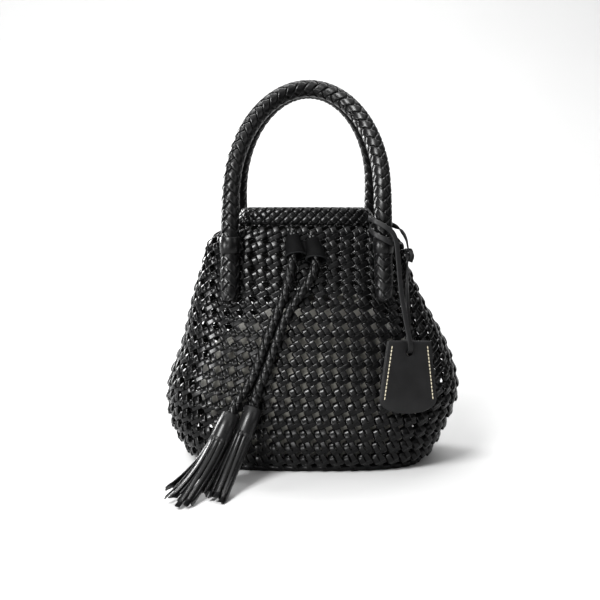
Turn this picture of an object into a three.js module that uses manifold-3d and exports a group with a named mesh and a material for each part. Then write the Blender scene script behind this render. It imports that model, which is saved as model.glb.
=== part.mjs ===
// Woven leather drawstring handbag with two braided handles, tasselled cords and a hang tag.
// Millimetres, +Z up. The bag stands on the floor plane, its front faces -Y.
import * as THREE from 'three';
import { mergeVertices } from 'three/addons/utils/BufferGeometryUtils.js';
import Module from 'manifold-3d';

const wasm = await Module();
wasm.setup();
const { degToRad } = THREE.MathUtils;

// Driving dimensions
const SEAT_GAP = 0.4;
const WALL = 5;
const BODY_TOP = 216.5;
const COLUMNS = 48;
const CELL_ROWS = 17;
const GAP_ROW_STEP = 3;
const FIRST_GAP_ROW = 2;
const FRONT_PITCH = 14.6;
const POUCH_COLUMNS = 24;
const POUCH_CLOTH = 1.2;

const RIM_TOP = 231.5;
const RIM_PROUD = 2.5;
const RIM_DEEP = 5.5;
const RIM_BEVEL = 2;

const HANDLE_RADIUS = 8;
const HANDLE_CENTRE_X = -5.4;
const HANDLE_HALF_SPAN = 66.4;
const HANDLE_ARCH_BASE = 247;
const HANDLE_ARCH_RISE = 94.5;
const HANDLE_TOP_SHIFT = 2.5;
const HANDLE_LEG_Y = 67;
const HANDLE_LEAN_IN = [{ z: 199, y: 67 }, { z: 208, y: 67 }, { z: 220, y: 65.4 }, { z: 234, y: 62 }];
const HANDLE_ARCH_Y = 58;
const HANDLE_LEAN_EASE = 1.12;
const HANDLE_LEG_END = 151;
const HANDLE_LEG_FREE = 186;
const HANDLE_SLOPE_ALLOWANCE = 1.07;
const HANDLE_SIDES = 10;
const HANDLE_STEPS = 42;
const HANDLE_TOP_GAP = 0.8;
const WRAP_CENTRE_Z = 199;
const WRAP_LENGTH = 14;
const WRAP_LEATHER = 1.1;
const WRAP_GAP = 0.65;

const CORD_RADIUS = 3.8;
const CORD_SIDES = 8;
const CORD_STEPS = 24;
const SLIDER_TUNNELS = [
  { top: [-17.7, -64.6, 206], bottom: [-14.6, -72.6, 189.5] },
  { top: [-0.9, -64.6, 203.5], bottom: [3.3, -72.6, 186.5] },
];
const SLIDER_TOP_RADIUS = 6.2;
const SLIDER_BOTTOM_RADIUS = 9.6;
const SLIDER_LEATHER = 1.5;
const SLIDER_BORE_OVERRUN = 1.2;
const SLIDER_BRIDGE = { width: 10, thick: 2.4, share: 0.85 };

const TASSEL_HEAD = { topRadius: 7.3, bottomRadius: 7.7, length: 25 };
const TASSEL_STRIPS = 11;
const TASSEL_STRIP = { width: 3.6, thick: 1.8, rootRadius: 5.4, rootDepth: 6, segments: 3 };

const TAG = { topWidth: 40.5, bottomWidth: 53, height: 61.5, roundDepth: 12.5, thick: 3 };
const TAG_HOLE = { radius: 3.2, drop: 9.8 };
const TAG_PLACE = { x: 83, y: -72.6, topZ: 116.7, turnDeg: 19, leanDeg: -4, rollDeg: 3 };

const LACE = { width: 4.4, thick: 1.6 };
const KNOT = { radius: 4.4, x: 85.4, y: -41.2, z: 191 };

// Woven body from the floor up: half width and half depth of the section, squareness of its superellipse,
// how far each side gusset folds in, and how far the section leans sideways.
const BODY_SECTIONS = [
  { z: 0, halfWidth: 102, halfDepth: 57, squareness: 3.0, fold: 0, lean: -2 },
  { z: 10, halfWidth: 110.5, halfDepth: 65, squareness: 3.0, fold: 0, lean: -2.6 },
  { z: 35, halfWidth: 124.5, halfDepth: 74.5, squareness: 2.9, fold: 0, lean: -3 },
  { z: 68, halfWidth: 132.8, halfDepth: 80, squareness: 2.7, fold: 0, lean: 0.6 },
  { z: 107, halfWidth: 121, halfDepth: 77, squareness: 2.8, fold: 2, lean: 1.6 },
  { z: 152, halfWidth: 102, halfDepth: 70, squareness: 3.1, fold: 10, lean: -5 },
  { z: 185, halfWidth: 90, halfDepth: 63, squareness: 3.4, fold: 20, lean: -7 },
  { z: 203, halfWidth: 84, halfDepth: 57.5, squareness: 3.4, fold: 24, lean: -7 },
  { z: 217, halfWidth: 60, halfDepth: 53, squareness: 3.4, fold: 19, lean: -6 },
  { z: 234, halfWidth: 53, halfDepth: 49, squareness: 3.4, fold: 14, lean: -6 },
];

// Cloth pouch that stands inside and is gathered towards its mouth, in the same columns.
const POUCH_SECTIONS = [
  { z: 5.9, halfWidth: 66, halfDepth: 42, squareness: 3.0, fold: 0, lean: 0 },
  { z: 20, halfWidth: 86, halfDepth: 57, squareness: 3.0, fold: 0, lean: 0 },
  { z: 45, halfWidth: 99, halfDepth: 69, squareness: 2.8, fold: 0, lean: 0 },
  { z: 70, halfWidth: 104, halfDepth: 73, squareness: 2.7, fold: 0, lean: 0 },
  { z: 92, halfWidth: 99, halfDepth: 72, squareness: 2.7, fold: 0, lean: 1 },
  { z: 112, halfWidth: 86, halfDepth: 69, squareness: 2.7, fold: 0, lean: 3 },
  { z: 126, halfWidth: 67, halfDepth: 64, squareness: 2.5, fold: 0, lean: 7 },
  { z: 138, halfWidth: 47, halfDepth: 56, squareness: 2.3, fold: 0, lean: 11 },
  { z: 147, halfWidth: 36, halfDepth: 46, squareness: 2.2, fold: 0, lean: 13 },
];

// Drawstring routes from the weave above the slider down the front to the tassels: x, y, z.
const DRAWSTRING_LEFT = [
  [-17.8, -60.6, 212.5], [-17.8, -62.2, 209], [-17.4, -65.3, 204], [-16.9, -67.8, 199], [-16.7, -70.3, 194],
  [-17.2, -72.2, 188.5], [-18.9, -72.8, 179.5], [-20.9, -73.2, 169.1], [-24.7, -74.3, 156.3],
  [-31.3, -76.5, 139.3], [-37.3, -78.4, 124], [-42.4, -79.8, 110.6], [-47.9, -81, 95.5],
  [-53.2, -82, 83.8], [-59.3, -83.3, 74.2], [-63, -85.2, 68.6], [-66.4, -88.3, 63.2], [-69.4, -91.7, 57.5],
];
const DRAWSTRING_RIGHT = [
  [-1.2, -60.6, 210], [-1.2, -62.2, 206.5], [-0.6, -65.3, 201.5], [0.6, -67.8, 196.5], [1.8, -70.3, 191.5],
  [2.6, -72.2, 186.5], [1.4, -72.9, 179.5], [-3.5, -73.3, 168.3], [-10.3, -74.2, 158], [-17.2, -75.6, 147.8],
  [-23.2, -77.2, 137.3], [-27.9, -78.7, 125.8], [-31.6, -79.9, 115.7], [-35.6, -81, 104.8],
  [-41, -82.2, 89.5], [-45.4, -82.8, 80.5], [-48.4, -83.6, 72], [-49.6, -85.2, 63.1],
];

// Tassels: where the head begins, the way it points, the middle of the tips by the floor, and how far
// the tips spread sideways and forward from it.
const TASSELS = [
  {
    name: 'tassel_left',
    top: [-69.6, -92, 56.9],
    aim: [-0.37, -0.46, -0.807],
    tips: [-107, -149, 4.8],
    sideways: [11, -9, -3],
    forward: [-3, -10, -0.5],
  },
  {
    name: 'tassel_right',
    top: [-50.3, -86, 61.4],
    aim: [-0.35, -0.38, -0.856],
    tips: [-80, -137, 2.8],
    sideways: [9.5, -9, -1],
    forward: [-2, -8, -0.4],
  },
];

// Tag lace from the knot, twice round the leg, down to the tag, through its hole and back to the knot:
// x, y, z, the compass direction that the flat side faces, 0 to the front and 90 to the right,
// and that side's tilt.
const LACE_ROUTE = [
  [85, -43.2, 195.9, 90, 0], [83, -49.6, 203, 85, 0], [78.6, -56.6, 210, 80, 0], [73, -58, 214.6, 115, 0],
  [67.2, -56.3, 216.8, 150, 0], [61, -55.4, 217.2, 180, 0], [53.2, -58.6, 216.2, 225, 0],
  [49.6, -67, 213, 270, 0],
  [53, -75.2, 208.8, 315, 0], [61, -78.5, 204.3, 0, 0], [69.2, -75.4, 200.2, 45, 0],
  [72.8, -67, 199.4, 90, 0],
  [70.6, -57.4, 203.4, 135, 0], [61, -52.8, 210, 180, 0], [51.4, -57.2, 218, 225, 0],
  [48.8, -67, 221.8, 270, 0],
  [52.8, -75.4, 220, 315, 0], [61, -78.8, 215.4, 0, 0], [68, -78.6, 210, 12, 0], [71.2, -78.2, 202, 19, 0],
  [72.4, -78.2, 192, 19, 0], [73.6, -78.2, 178, 19, 0], [75, -78.2, 162, 19, 0], [77.4, -78.2, 146, 19, 0],
  [80.4, -78.5, 129, 19, 0], [83, -78.7, 115.2, 19, 0], [83.4, -77.7, 110.3, 19, -30],
  [83, -75.6, 107.5, 19, -65], [82.5, -73.3, 106.8, 19, -90], [81.9, -71.1, 107.7, 199, -60],
  [81.7, -69.4, 110.6, 199, -20], [82.2, -68.8, 116.2, 199, 0],
  [82.6, -67.6, 128, 205, 0], [82.4, -64.8, 143, 215, 0], [82.2, -61.8, 157, 230, 0],
  [82.6, -57, 170, 250, 0], [83.8, -50, 181.4, 265, 0], [84.6, -46, 186, 270, 0],
];

// Smooth value of one column of a section table at a height.
function columnAt(table, key, z) {
  const last = table.length - 1;
  let k = 0;
  while (k < last - 1 && z > table[k + 1].z) k += 1;
  const slope = (i) => {
    const a = table[Math.max(i - 1, 0)];
    const b = table[Math.min(i + 1, last)];
    return (b[key] - a[key]) / (b.z - a.z);
  };
  const span = table[k + 1].z - table[k].z;
  const t = Math.min(Math.max((z - table[k].z) / span, 0), 1);
  const rise = table[k + 1][key] - table[k][key];
  const startPull = slope(k) * span - rise;
  const endPull = rise - slope(k + 1) * span;
  return table[k][key] + rise * t + t * (1 - t) * (startPull * (1 - t) + endPull * t);
}

// Points from the front middle to the side middle of a section, equally spaced in weave columns.
function quarterSection(table, z, inset, count) {
  const at = (key) => columnAt(table, key, z);
  const halfWidth = at('halfWidth') - inset;
  const halfDepth = at('halfDepth') - inset;
  const power = 2 / at('squareness');
  const samples = 160;
  const raw = [];
  for (let i = 0; i <= samples; i += 1) {
    const angle = (Math.PI / 2) * (i / samples);
    const across = Math.sin(angle) ** power;
    const along = Math.cos(angle) ** power;
    const folded = halfWidth * across - at('fold') * (1 - along ** 2) ** 2 * across ** 4;
    raw.push(new THREE.Vector2(folded, -halfDepth * along));
  }
  const widest = Math.max(...raw.map((p) => p.x));
  raw.forEach((p) => { p.x *= halfWidth / widest; });
  const run = [0];
  for (let i = 1; i <= samples; i += 1) run.push(run[i - 1] + raw[i].distanceTo(raw[i - 1]));
  const total = run[samples];
  const evenness = Math.min(total / (FRONT_PITCH * COLUMNS / 4), 1);
  const share = run.map((s) => evenness * (s / total) + (1 - evenness) * (s / total) ** 3);
  const points = [];
  let k = 0;
  for (let i = 0; i <= count; i += 1) {
    while (k < samples - 1 && share[k + 1] < i / count) k += 1;
    const t = (i / count - share[k]) / (share[k + 1] - share[k]);
    points.push(raw[k].clone().lerp(raw[k + 1], Math.min(Math.max(t, 0), 1)));
  }
  return points;
}

// Closed section at a height, front middle first, then round by the right side.
function ring(table, z, inset, columns, level = z) {
  const quarter = columns / 4;
  const points = quarterSection(table, z, inset, quarter);
  const lean = columnAt(table, 'lean', z);
  const closed = [];
  for (let i = 0; i < columns; i += 1) {
    const step = i % (2 * quarter);
    const point = points[step <= quarter ? step : 2 * quarter - step];
    const firstHalf = i < 2 * quarter;
    const x = firstHalf ? point.x : -point.x;
    const front = i <= quarter || i > 3 * quarter;
    closed.push([x + lean, front ? point.y : -point.y, level]);
  }
  return closed;
}

// Distance of the body's front wall from the middle plane at a place across the front.
function wallDepth(x, z) {
  const points = quarterSection(BODY_SECTIONS, z, 0, 40);
  const across = Math.abs(x - columnAt(BODY_SECTIONS, 'lean', z));
  let k = 0;
  while (k < points.length - 2 && points[k + 1].x < across) k += 1;
  const t = (across - points[k].x) / (points[k + 1].x - points[k].x);
  return -(points[k].y + (points[k + 1].y - points[k].y) * t);
}

// One closed geometry from vertex triples and triangles, turned so that its faces point out.
function closedGeometry(vertices, triangles) {
  let volume = 0;
  const [a, b, c] = [new THREE.Vector3(), new THREE.Vector3(), new THREE.Vector3()];
  for (const [i, j, k] of triangles) {
    volume += a.fromArray(vertices[i]).dot(b.fromArray(vertices[j]).cross(c.fromArray(vertices[k])));
  }
  const outward = volume > 0 ? triangles : triangles.map(([i, j, k]) => [i, k, j]);
  const geometry = new THREE.BufferGeometry();
  geometry.setAttribute('position', new THREE.Float32BufferAttribute(vertices.flat(), 3));
  geometry.setIndex(outward.flat());
  return geometry;
}

// Manifold solid of a geometry, and the geometry of a manifold solid.
function toSolid(geometry) {
  const plain = geometry.clone();
  plain.deleteAttribute('normal');
  plain.deleteAttribute('uv');
  const merged = mergeVertices(plain, 1e-4);
  return new wasm.Manifold(new wasm.Mesh({
    numProp: 3,
    vertProperties: new Float32Array(merged.attributes.position.array),
    triVerts: new Uint32Array(merged.index.array),
  }));
}

function toGeometry(solid) {
  const result = solid.getMesh();
  const geometry = new THREE.BufferGeometry();
  geometry.setAttribute('position', new THREE.Float32BufferAttribute(result.vertProperties, 3));
  geometry.setIndex([...result.triVerts]);
  return geometry;
}

// Open-topped vessel that follows a section table: two skins a wall apart, a floor, and open cells as gaps.
function vessel(table, columns, levels, wall, isGap) {
  const vertices = [];
  const triangles = [];
  const rows = levels.length - 1;
  const outerStart = 0;
  levels.forEach((z) => vertices.push(...ring(table, z, 0, columns)));
  const innerStart = vertices.length;
  levels.forEach((z, j) => vertices.push(...ring(table, z, wall, columns, j === 0 ? z + wall : z)));
  const outer = (i, j) => outerStart + j * columns + (i % columns);
  const inner = (i, j) => innerStart + j * columns + (i % columns);
  const quad = (p, q, r, s) => triangles.push([p, q, r], [p, r, s]);
  for (let j = 0; j < rows; j += 1) {
    for (let i = 0; i < columns; i += 1) {
      if (isGap(i, j)) {
        quad(outer(i, j), outer(i + 1, j), inner(i + 1, j), inner(i, j));
        quad(inner(i, j + 1), inner(i + 1, j + 1), outer(i + 1, j + 1), outer(i, j + 1));
        quad(outer(i, j + 1), outer(i, j), inner(i, j), inner(i, j + 1));
        quad(outer(i + 1, j), outer(i + 1, j + 1), inner(i + 1, j + 1), inner(i + 1, j));
      } else {
        quad(outer(i, j), outer(i + 1, j), outer(i + 1, j + 1), outer(i, j + 1));
        quad(inner(i + 1, j), inner(i, j), inner(i, j + 1), inner(i + 1, j + 1));
      }
    }
  }
  for (let i = 0; i < columns; i += 1) {
    quad(outer(i, rows), outer(i + 1, rows), inner(i + 1, rows), inner(i, rows));
  }
  const outline = (start) => vertices.slice(start, start + columns).map(([x, y]) => new THREE.Vector2(x, y));
  for (const [i, j, k] of THREE.ShapeUtils.triangulateShape(outline(outerStart), [])) {
    triangles.push([i, k, j]);
  }
  for (const [i, j, k] of THREE.ShapeUtils.triangulateShape(outline(innerStart), [])) {
    triangles.push([innerStart + i, innerStart + j, innerStart + k]);
  }
  return closedGeometry(vertices, triangles);
}

// Band round the mouth: a bevelled section carried round the body's top.
function rimBand() {
  const low = BODY_TOP + SEAT_GAP;
  const profile = [
    [-RIM_PROUD + RIM_BEVEL, low], [-RIM_PROUD, low + RIM_BEVEL], [-RIM_PROUD, RIM_TOP - RIM_BEVEL],
    [-RIM_PROUD + RIM_BEVEL, RIM_TOP], [RIM_DEEP - RIM_BEVEL, RIM_TOP], [RIM_DEEP, RIM_TOP - RIM_BEVEL],
    [RIM_DEEP, low + RIM_BEVEL], [RIM_DEEP - RIM_BEVEL, low],
  ];
  const columns = COLUMNS;
  const vertices = profile.flatMap(([inset, z]) => ring(BODY_SECTIONS, z, inset, columns));
  const triangles = [];
  for (let k = 0; k < profile.length; k += 1) {
    const next = (k + 1) % profile.length;
    for (let i = 0; i < columns; i += 1) {
      const j = (i + 1) % columns;
      const [p, q, r, s] = [k * columns + i, k * columns + j, next * columns + j, next * columns + i];
      triangles.push([p, q, r], [p, r, s]);
    }
  }
  return closedGeometry(vertices, triangles);
}

// Round tube along a smooth curve through points.
function tube(points, radius, sides, steps) {
  const section = new THREE.Shape();
  for (let i = 0; i < sides; i += 1) {
    const angle = (2 * Math.PI * i) / sides;
    const place = [radius * Math.cos(angle), radius * Math.sin(angle)];
    if (i === 0) section.moveTo(...place);
    else section.lineTo(...place);
  }
  section.closePath();
  const path = new THREE.CatmullRomCurve3(points.map((p) => new THREE.Vector3(...p)), false, 'centripetal');
  return new THREE.ExtrudeGeometry(section, { steps, bevelEnabled: false, extrudePath: path });
}

// Flat strip along points, each with the direction that its width takes.
function strip(points, sides, width, thick) {
  const corners = [[-0.5, -0.5], [0.5, -0.5], [0.5, 0.5], [-0.5, 0.5]];
  const vertices = [];
  const triangles = [];
  points.forEach((point, i) => {
    const ahead = points[Math.min(i + 1, points.length - 1)];
    const behind = points[Math.max(i - 1, 0)];
    const tangent = ahead.clone().sub(behind).normalize();
    const across = sides[i].clone().addScaledVector(tangent, -sides[i].dot(tangent)).normalize();
    const normal = tangent.clone().cross(across);
    for (const [u, v] of corners) {
      const corner = point.clone().addScaledVector(across, u * width).addScaledVector(normal, v * thick);
      vertices.push(corner.toArray());
    }
  });
  for (let i = 0; i < points.length - 1; i += 1) {
    for (let k = 0; k < 4; k += 1) {
      const [p, q] = [i * 4 + k, i * 4 + ((k + 1) % 4)];
      triangles.push([p, q, q + 4], [p, q + 4, p + 4]);
    }
  }
  const end = (points.length - 1) * 4;
  triangles.push([2, 1, 0], [3, 2, 0], [end, end + 1, end + 2], [end, end + 2, end + 3]);
  return closedGeometry(vertices, triangles);
}

// Centre line of a handle: up one leg on the wall, over the arch, down the other leg. Side -1 is the front.
function handleRoute(side) {
  const seatedHeights = [HANDLE_LEG_END, 160, 168, 176, HANDLE_LEG_FREE];
  const onWall = (x, z) => wallDepth(x, z) + HANDLE_RADIUS * HANDLE_SLOPE_ALLOWANCE + SEAT_GAP;
  const leg = (x) => [
    ...seatedHeights.map((z) => [x, side * Math.max(onWall(x, z), HANDLE_LEG_Y), z]),
    ...HANDLE_LEAN_IN.map(({ z, y }) => [x, side * y, z]),
  ];
  const archSteps = 14;
  const topY = HANDLE_RADIUS + HANDLE_TOP_GAP / 2;
  const arch = [];
  for (let i = 0; i <= archSteps; i += 1) {
    const angle = Math.PI * (1 - i / archSteps);
    const lift = Math.sin(angle);
    const y = HANDLE_ARCH_Y + (topY - HANDLE_ARCH_Y) * lift ** HANDLE_LEAN_EASE;
    const x = HANDLE_CENTRE_X + HANDLE_HALF_SPAN * Math.cos(angle) + HANDLE_TOP_SHIFT * lift;
    arch.push([x, side * y, HANDLE_ARCH_BASE + HANDLE_ARCH_RISE * lift]);
  }
  const left = leg(HANDLE_CENTRE_X - HANDLE_HALF_SPAN);
  const right = leg(HANDLE_CENTRE_X + HANDLE_HALF_SPAN).reverse();
  return [...left, ...arch, ...right];
}

// Collar round a handle leg.
function wrapCollar() {
  const inside = HANDLE_RADIUS + WRAP_GAP;
  const half = WRAP_LENGTH / 2;
  const profile = [
    [inside, -half], [inside + WRAP_LEATHER, -half], [inside + WRAP_LEATHER, half], [inside, half],
    [inside, -half],
  ].map(([x, y]) => new THREE.Vector2(x, y));
  return new THREE.LatheGeometry(profile, 16).rotateX(Math.PI / 2);
}

// Double tunnel of leather: two flaring tubes joined by a bridge, bored for the two cords.
function cordSlider() {
  const ends = SLIDER_TUNNELS.map(({ top, bottom }) => [top, bottom].map((p) => new THREE.Vector3(...p)));
  const place = (geometry, [top, bottom]) => {
    const way = top.clone().sub(bottom).normalize();
    const turn = new THREE.Quaternion().setFromUnitVectors(new THREE.Vector3(0, 0, 1), way);
    const middle = top.clone().lerp(bottom, 0.5);
    return toSolid(geometry.applyQuaternion(turn).translate(...middle.toArray()));
  };
  const cone = (tunnel, inset, overrun) => {
    const height = tunnel[0].distanceTo(tunnel[1]) * overrun;
    const radii = [SLIDER_TOP_RADIUS - inset, SLIDER_BOTTOM_RADIUS - inset];
    return place(new THREE.CylinderGeometry(...radii, height, 20).rotateX(Math.PI / 2), tunnel);
  };
  const between = [0, 1].map((k) => ends[0][k].clone().lerp(ends[1][k], 0.5));
  const { width, thick, share } = SLIDER_BRIDGE;
  let body = place(new THREE.BoxGeometry(width, thick, between[0].distanceTo(between[1]) * share), between);
  for (const tunnel of ends) body = body.add(cone(tunnel, 0, 1));
  for (const tunnel of ends) body = body.subtract(cone(tunnel, SLIDER_LEATHER, SLIDER_BORE_OVERRUN));
  return toGeometry(body);
}

// Tassel: a wound head with strips that fall from it and spread on the floor.
function tassel({ top, aim, tips, sideways, forward }) {
  const start = new THREE.Vector3(...top);
  const axis = new THREE.Vector3(...aim).normalize();
  const turn = new THREE.Quaternion().setFromUnitVectors(new THREE.Vector3(0, -1, 0), axis);
  const { topRadius, bottomRadius, length } = TASSEL_HEAD;
  const head = new THREE.CylinderGeometry(topRadius, bottomRadius, length, 14);
  head.applyQuaternion(turn).translate(...start.clone().addScaledVector(axis, length / 2).toArray());
  let body = toSolid(head);
  const side = new THREE.Vector3(1, 0, 0).applyQuaternion(turn);
  const depth = new THREE.Vector3(0, 0, 1).applyQuaternion(turn);
  const foot = start.clone().addScaledVector(axis, length);
  const { width, thick, rootRadius, rootDepth, segments } = TASSEL_STRIP;
  for (let i = 0; i < TASSEL_STRIPS; i += 1) {
    const angle = (2 * Math.PI * (i + 0.5)) / TASSEL_STRIPS;
    const out = side.clone().multiplyScalar(Math.cos(angle)).addScaledVector(depth, Math.sin(angle));
    const root = foot.clone().addScaledVector(axis, -rootDepth).addScaledVector(out, rootRadius);
    const tip = new THREE.Vector3(...tips);
    tip.addScaledVector(new THREE.Vector3(...sideways), Math.cos(angle));
    tip.addScaledVector(new THREE.Vector3(...forward), Math.sin(angle));
    const bend = root.clone().addScaledVector(axis, root.distanceTo(tip) * 0.55);
    const curve = new THREE.QuadraticBezierCurve3(root, bend, tip);
    const points = curve.getPoints(segments);
    const flat = new THREE.Vector3(-axis.y, axis.x, 0).normalize();
    const round = axis.clone().cross(out).normalize();
    const sides = points.map((p, k) => round.clone().lerp(flat, k / segments));
    body = body.add(toSolid(strip(points, sides, width, thick)));
  }
  return toGeometry(body);
}

// Tag: a tapered leather plate with a round lower edge and a lace hole, hung from its top middle.
function hangTag() {
  const { topWidth, bottomWidth, height, roundDepth, thick } = TAG;
  const shoulder = roundDepth - height;
  const outline = new THREE.Shape();
  outline.moveTo(-topWidth / 2, 0);
  outline.lineTo(-bottomWidth / 2, shoulder);
  outline.bezierCurveTo(-bottomWidth / 2, -height * 0.94, -bottomWidth / 4, -height, 0, -height);
  outline.bezierCurveTo(bottomWidth / 4, -height, bottomWidth / 2, -height * 0.94, bottomWidth / 2, shoulder);
  outline.lineTo(topWidth / 2, 0);
  outline.closePath();
  const hole = new THREE.Path();
  hole.absarc(0, -TAG_HOLE.drop, TAG_HOLE.radius, 0, 2 * Math.PI, true);
  outline.holes.push(hole);
  const plate = new THREE.ExtrudeGeometry(outline, { depth: thick, bevelEnabled: false, curveSegments: 10 });
  return plate.translate(0, 0, -thick / 2).rotateX(Math.PI / 2);
}

// Flat lace from the knot, twice round the leg, and down to the tag.
function tagLace() {
  const curve = new THREE.CatmullRomCurve3(LACE_ROUTE.map(([x, y, z]) => new THREE.Vector3(x, y, z)));
  const facing = new THREE.CatmullRomCurve3(LACE_ROUTE.map(([, , , compassDeg, tiltDeg]) => {
    const compass = degToRad(compassDeg);
    const tilt = degToRad(tiltDeg);
    const level = Math.cos(tilt);
    return new THREE.Vector3(Math.sin(compass) * level, -Math.cos(compass) * level, Math.sin(tilt));
  }));
  const steps = 76;
  const points = [];
  const sides = [];
  for (let i = 0; i <= steps; i += 1) {
    const tangent = curve.getTangent(i / steps);
    points.push(curve.getPoint(i / steps));
    sides.push(facing.getPoint(i / steps).cross(tangent).normalize());
  }
  return strip(points, sides, LACE.width, LACE.thick);
}

// Materials: black leather in three finishes and an undyed cloth.
const wovenLeather = new THREE.MeshStandardMaterial({ color: 0x1b1b1d, roughness: 0.42, metalness: 0 });
const braidLeather = new THREE.MeshStandardMaterial({ color: 0x18181a, roughness: 0.45, metalness: 0 });
const matteLeather = new THREE.MeshStandardMaterial({ color: 0x222224, roughness: 0.68, metalness: 0 });
const pouchCloth = new THREE.MeshStandardMaterial({ color: 0x6e6a5c, roughness: 0.95, metalness: 0 });

const bag = new THREE.Group();

function addPiece(name, geometry, material) {
  const mesh = new THREE.Mesh(geometry, material);
  mesh.name = name;
  bag.add(mesh);
  return mesh;
}

// Body, pouch and rim
const levels = Array.from({ length: CELL_ROWS + 1 }, (_, j) => (BODY_TOP * j) / CELL_ROWS);
const isGap = (i, j) => {
  const row = (j - FIRST_GAP_ROW) / GAP_ROW_STEP;
  return row >= 0 && Number.isInteger(row) && (i + row) % 2 === 0;
};
addPiece('woven_body', vessel(BODY_SECTIONS, COLUMNS, levels, WALL, isGap), wovenLeather);
const pouchLevels = POUCH_SECTIONS.map(({ z }) => z);
const pouch = vessel(POUCH_SECTIONS, POUCH_COLUMNS, pouchLevels, POUCH_CLOTH, () => false);
addPiece('inner_pouch', pouch, pouchCloth);
addPiece('rim_braid', rimBand(), braidLeather);

// Handles and their collars
for (const [face, side] of [['front', -1], ['back', 1]]) {
  const rope = tube(handleRoute(side), HANDLE_RADIUS, HANDLE_SIDES, HANDLE_STEPS);
  addPiece(`handle_${face}`, rope, braidLeather);
  for (const [hand, way] of [['left', -1], ['right', 1]]) {
    const collar = addPiece(`handle_wrap_${face}_${hand}`, wrapCollar(), matteLeather);
    collar.position.set(HANDLE_CENTRE_X + way * HANDLE_HALF_SPAN, side * HANDLE_LEG_Y, WRAP_CENTRE_Z);
  }
}

// Drawstrings, slider and tassels
addPiece('cord_slider', cordSlider(), matteLeather);
addPiece('drawstring_left', tube(DRAWSTRING_LEFT, CORD_RADIUS, CORD_SIDES, CORD_STEPS), braidLeather);
addPiece('drawstring_right', tube(DRAWSTRING_RIGHT, CORD_RADIUS, CORD_SIDES, CORD_STEPS), braidLeather);
for (const row of TASSELS) addPiece(row.name, tassel(row), matteLeather);

// Tag, lace and knot
const tag = addPiece('hang_tag', hangTag(), matteLeather);
tag.position.set(TAG_PLACE.x, TAG_PLACE.y, TAG_PLACE.topZ);
const tagTurn = [TAG_PLACE.leanDeg, TAG_PLACE.rollDeg, TAG_PLACE.turnDeg].map(degToRad);
tag.rotation.set(...tagTurn, 'ZYX');
addPiece('tag_lace', tagLace(), matteLeather);
const knot = addPiece('lace_knot', new THREE.IcosahedronGeometry(KNOT.radius, 1), matteLeather);
knot.position.set(KNOT.x, KNOT.y, KNOT.z);

export default bag;
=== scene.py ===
import math

import bpy
import numpy as np
from mathutils import Matrix, Vector


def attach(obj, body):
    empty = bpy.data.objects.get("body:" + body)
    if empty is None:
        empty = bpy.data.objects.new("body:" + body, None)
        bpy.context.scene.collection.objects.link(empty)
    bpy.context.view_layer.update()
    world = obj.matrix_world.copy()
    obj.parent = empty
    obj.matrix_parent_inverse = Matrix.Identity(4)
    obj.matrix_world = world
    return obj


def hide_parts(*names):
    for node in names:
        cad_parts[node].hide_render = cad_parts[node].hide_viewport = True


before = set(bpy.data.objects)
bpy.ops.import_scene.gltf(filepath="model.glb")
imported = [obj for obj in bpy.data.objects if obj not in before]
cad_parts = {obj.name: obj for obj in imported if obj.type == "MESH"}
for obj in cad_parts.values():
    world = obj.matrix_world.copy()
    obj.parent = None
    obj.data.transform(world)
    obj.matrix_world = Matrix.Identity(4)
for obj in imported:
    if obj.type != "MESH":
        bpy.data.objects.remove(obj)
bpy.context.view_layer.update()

MM = 0.001
RNG = np.random.default_rng(11)
# Any direction off the axes, from which the turned shells start.
TURN_START = (0.31, 0.87, 0.38)

# Camera: the photograph's frame is square, and its focal length and horizon are given in its pixels.
FRAME_PX = 600
FOCAL_PX = 961
SENSOR_MM = 36
CAMERA_PLACE = (-0.0112, -0.900, 0.238)
HORIZON_PX = 200

# Section tables in millimetres, as in the part.
SECTION_COLUMNS = ("z", "half_width", "half_depth", "squareness", "fold", "lean")
BODY_SECTIONS = np.array([
    (0, 102, 57, 3.0, 0, -2),
    (10, 110.5, 65, 3.0, 0, -2.6),
    (35, 124.5, 74.5, 2.9, 0, -3),
    (68, 132.8, 80, 2.7, 0, 0.6),
    (107, 121, 77, 2.8, 2, 1.6),
    (152, 102, 70, 3.1, 10, -5),
    (185, 90, 63, 3.4, 20, -7),
    (203, 84, 57.5, 3.4, 24, -7),
    (217, 60, 53, 3.4, 19, -6),
    (234, 53, 49, 3.4, 14, -6),
])
POUCH_SECTIONS = np.array([
    (5.9, 66, 42, 3.0, 0, 0),
    (20, 86, 57, 3.0, 0, 0),
    (45, 99, 69, 2.8, 0, 0),
    (70, 104, 73, 2.7, 0, 0),
    (92, 99, 72, 2.7, 0, 1),
    (112, 86, 69, 2.7, 0, 3),
    (126, 67, 64, 2.5, 0, 7),
    (138, 47, 56, 2.3, 0, 11),
    (147, 36, 46, 2.2, 0, 13),
])
# Girth from which the columns are spread evenly. Below it they bunch towards the middle of each side.
SECTION_TURN = 700.8
BUNCH_POWER = 5
QUARTER_STEPS = 320
WALL_STEPS = 40
SKIN_SAMPLES = 324
SKIN_STEP = 2.0

# Weave: cells of one open gap and four strand squares, on a lattice turned within the columns and rows.
WEAVE_COLUMNS = 52
WEAVE_FACES = ("front", "right", "back", "left")
WEAVE_QUARTERS = (0, 13.75, 26.27, 38.25, 52)
WEAVE_FIRST_ROW = -1
WEAVE_LAST_ROW = 16
WEAVE_FIRST_Z = 213.4
WEAVE_ROW_PITCH = 12.6
WEAVE_SHIFT = 0.35
# How many rows lower the weave lies on the back than on the front.
BACK_DROP_ROWS = (-2, 0, 6, 7.5, 10, 15.5, 17)
BACK_DROP = (-0.2, -0.2, 0.7, 0.9, 0.44, 0.35, 0)
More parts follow.
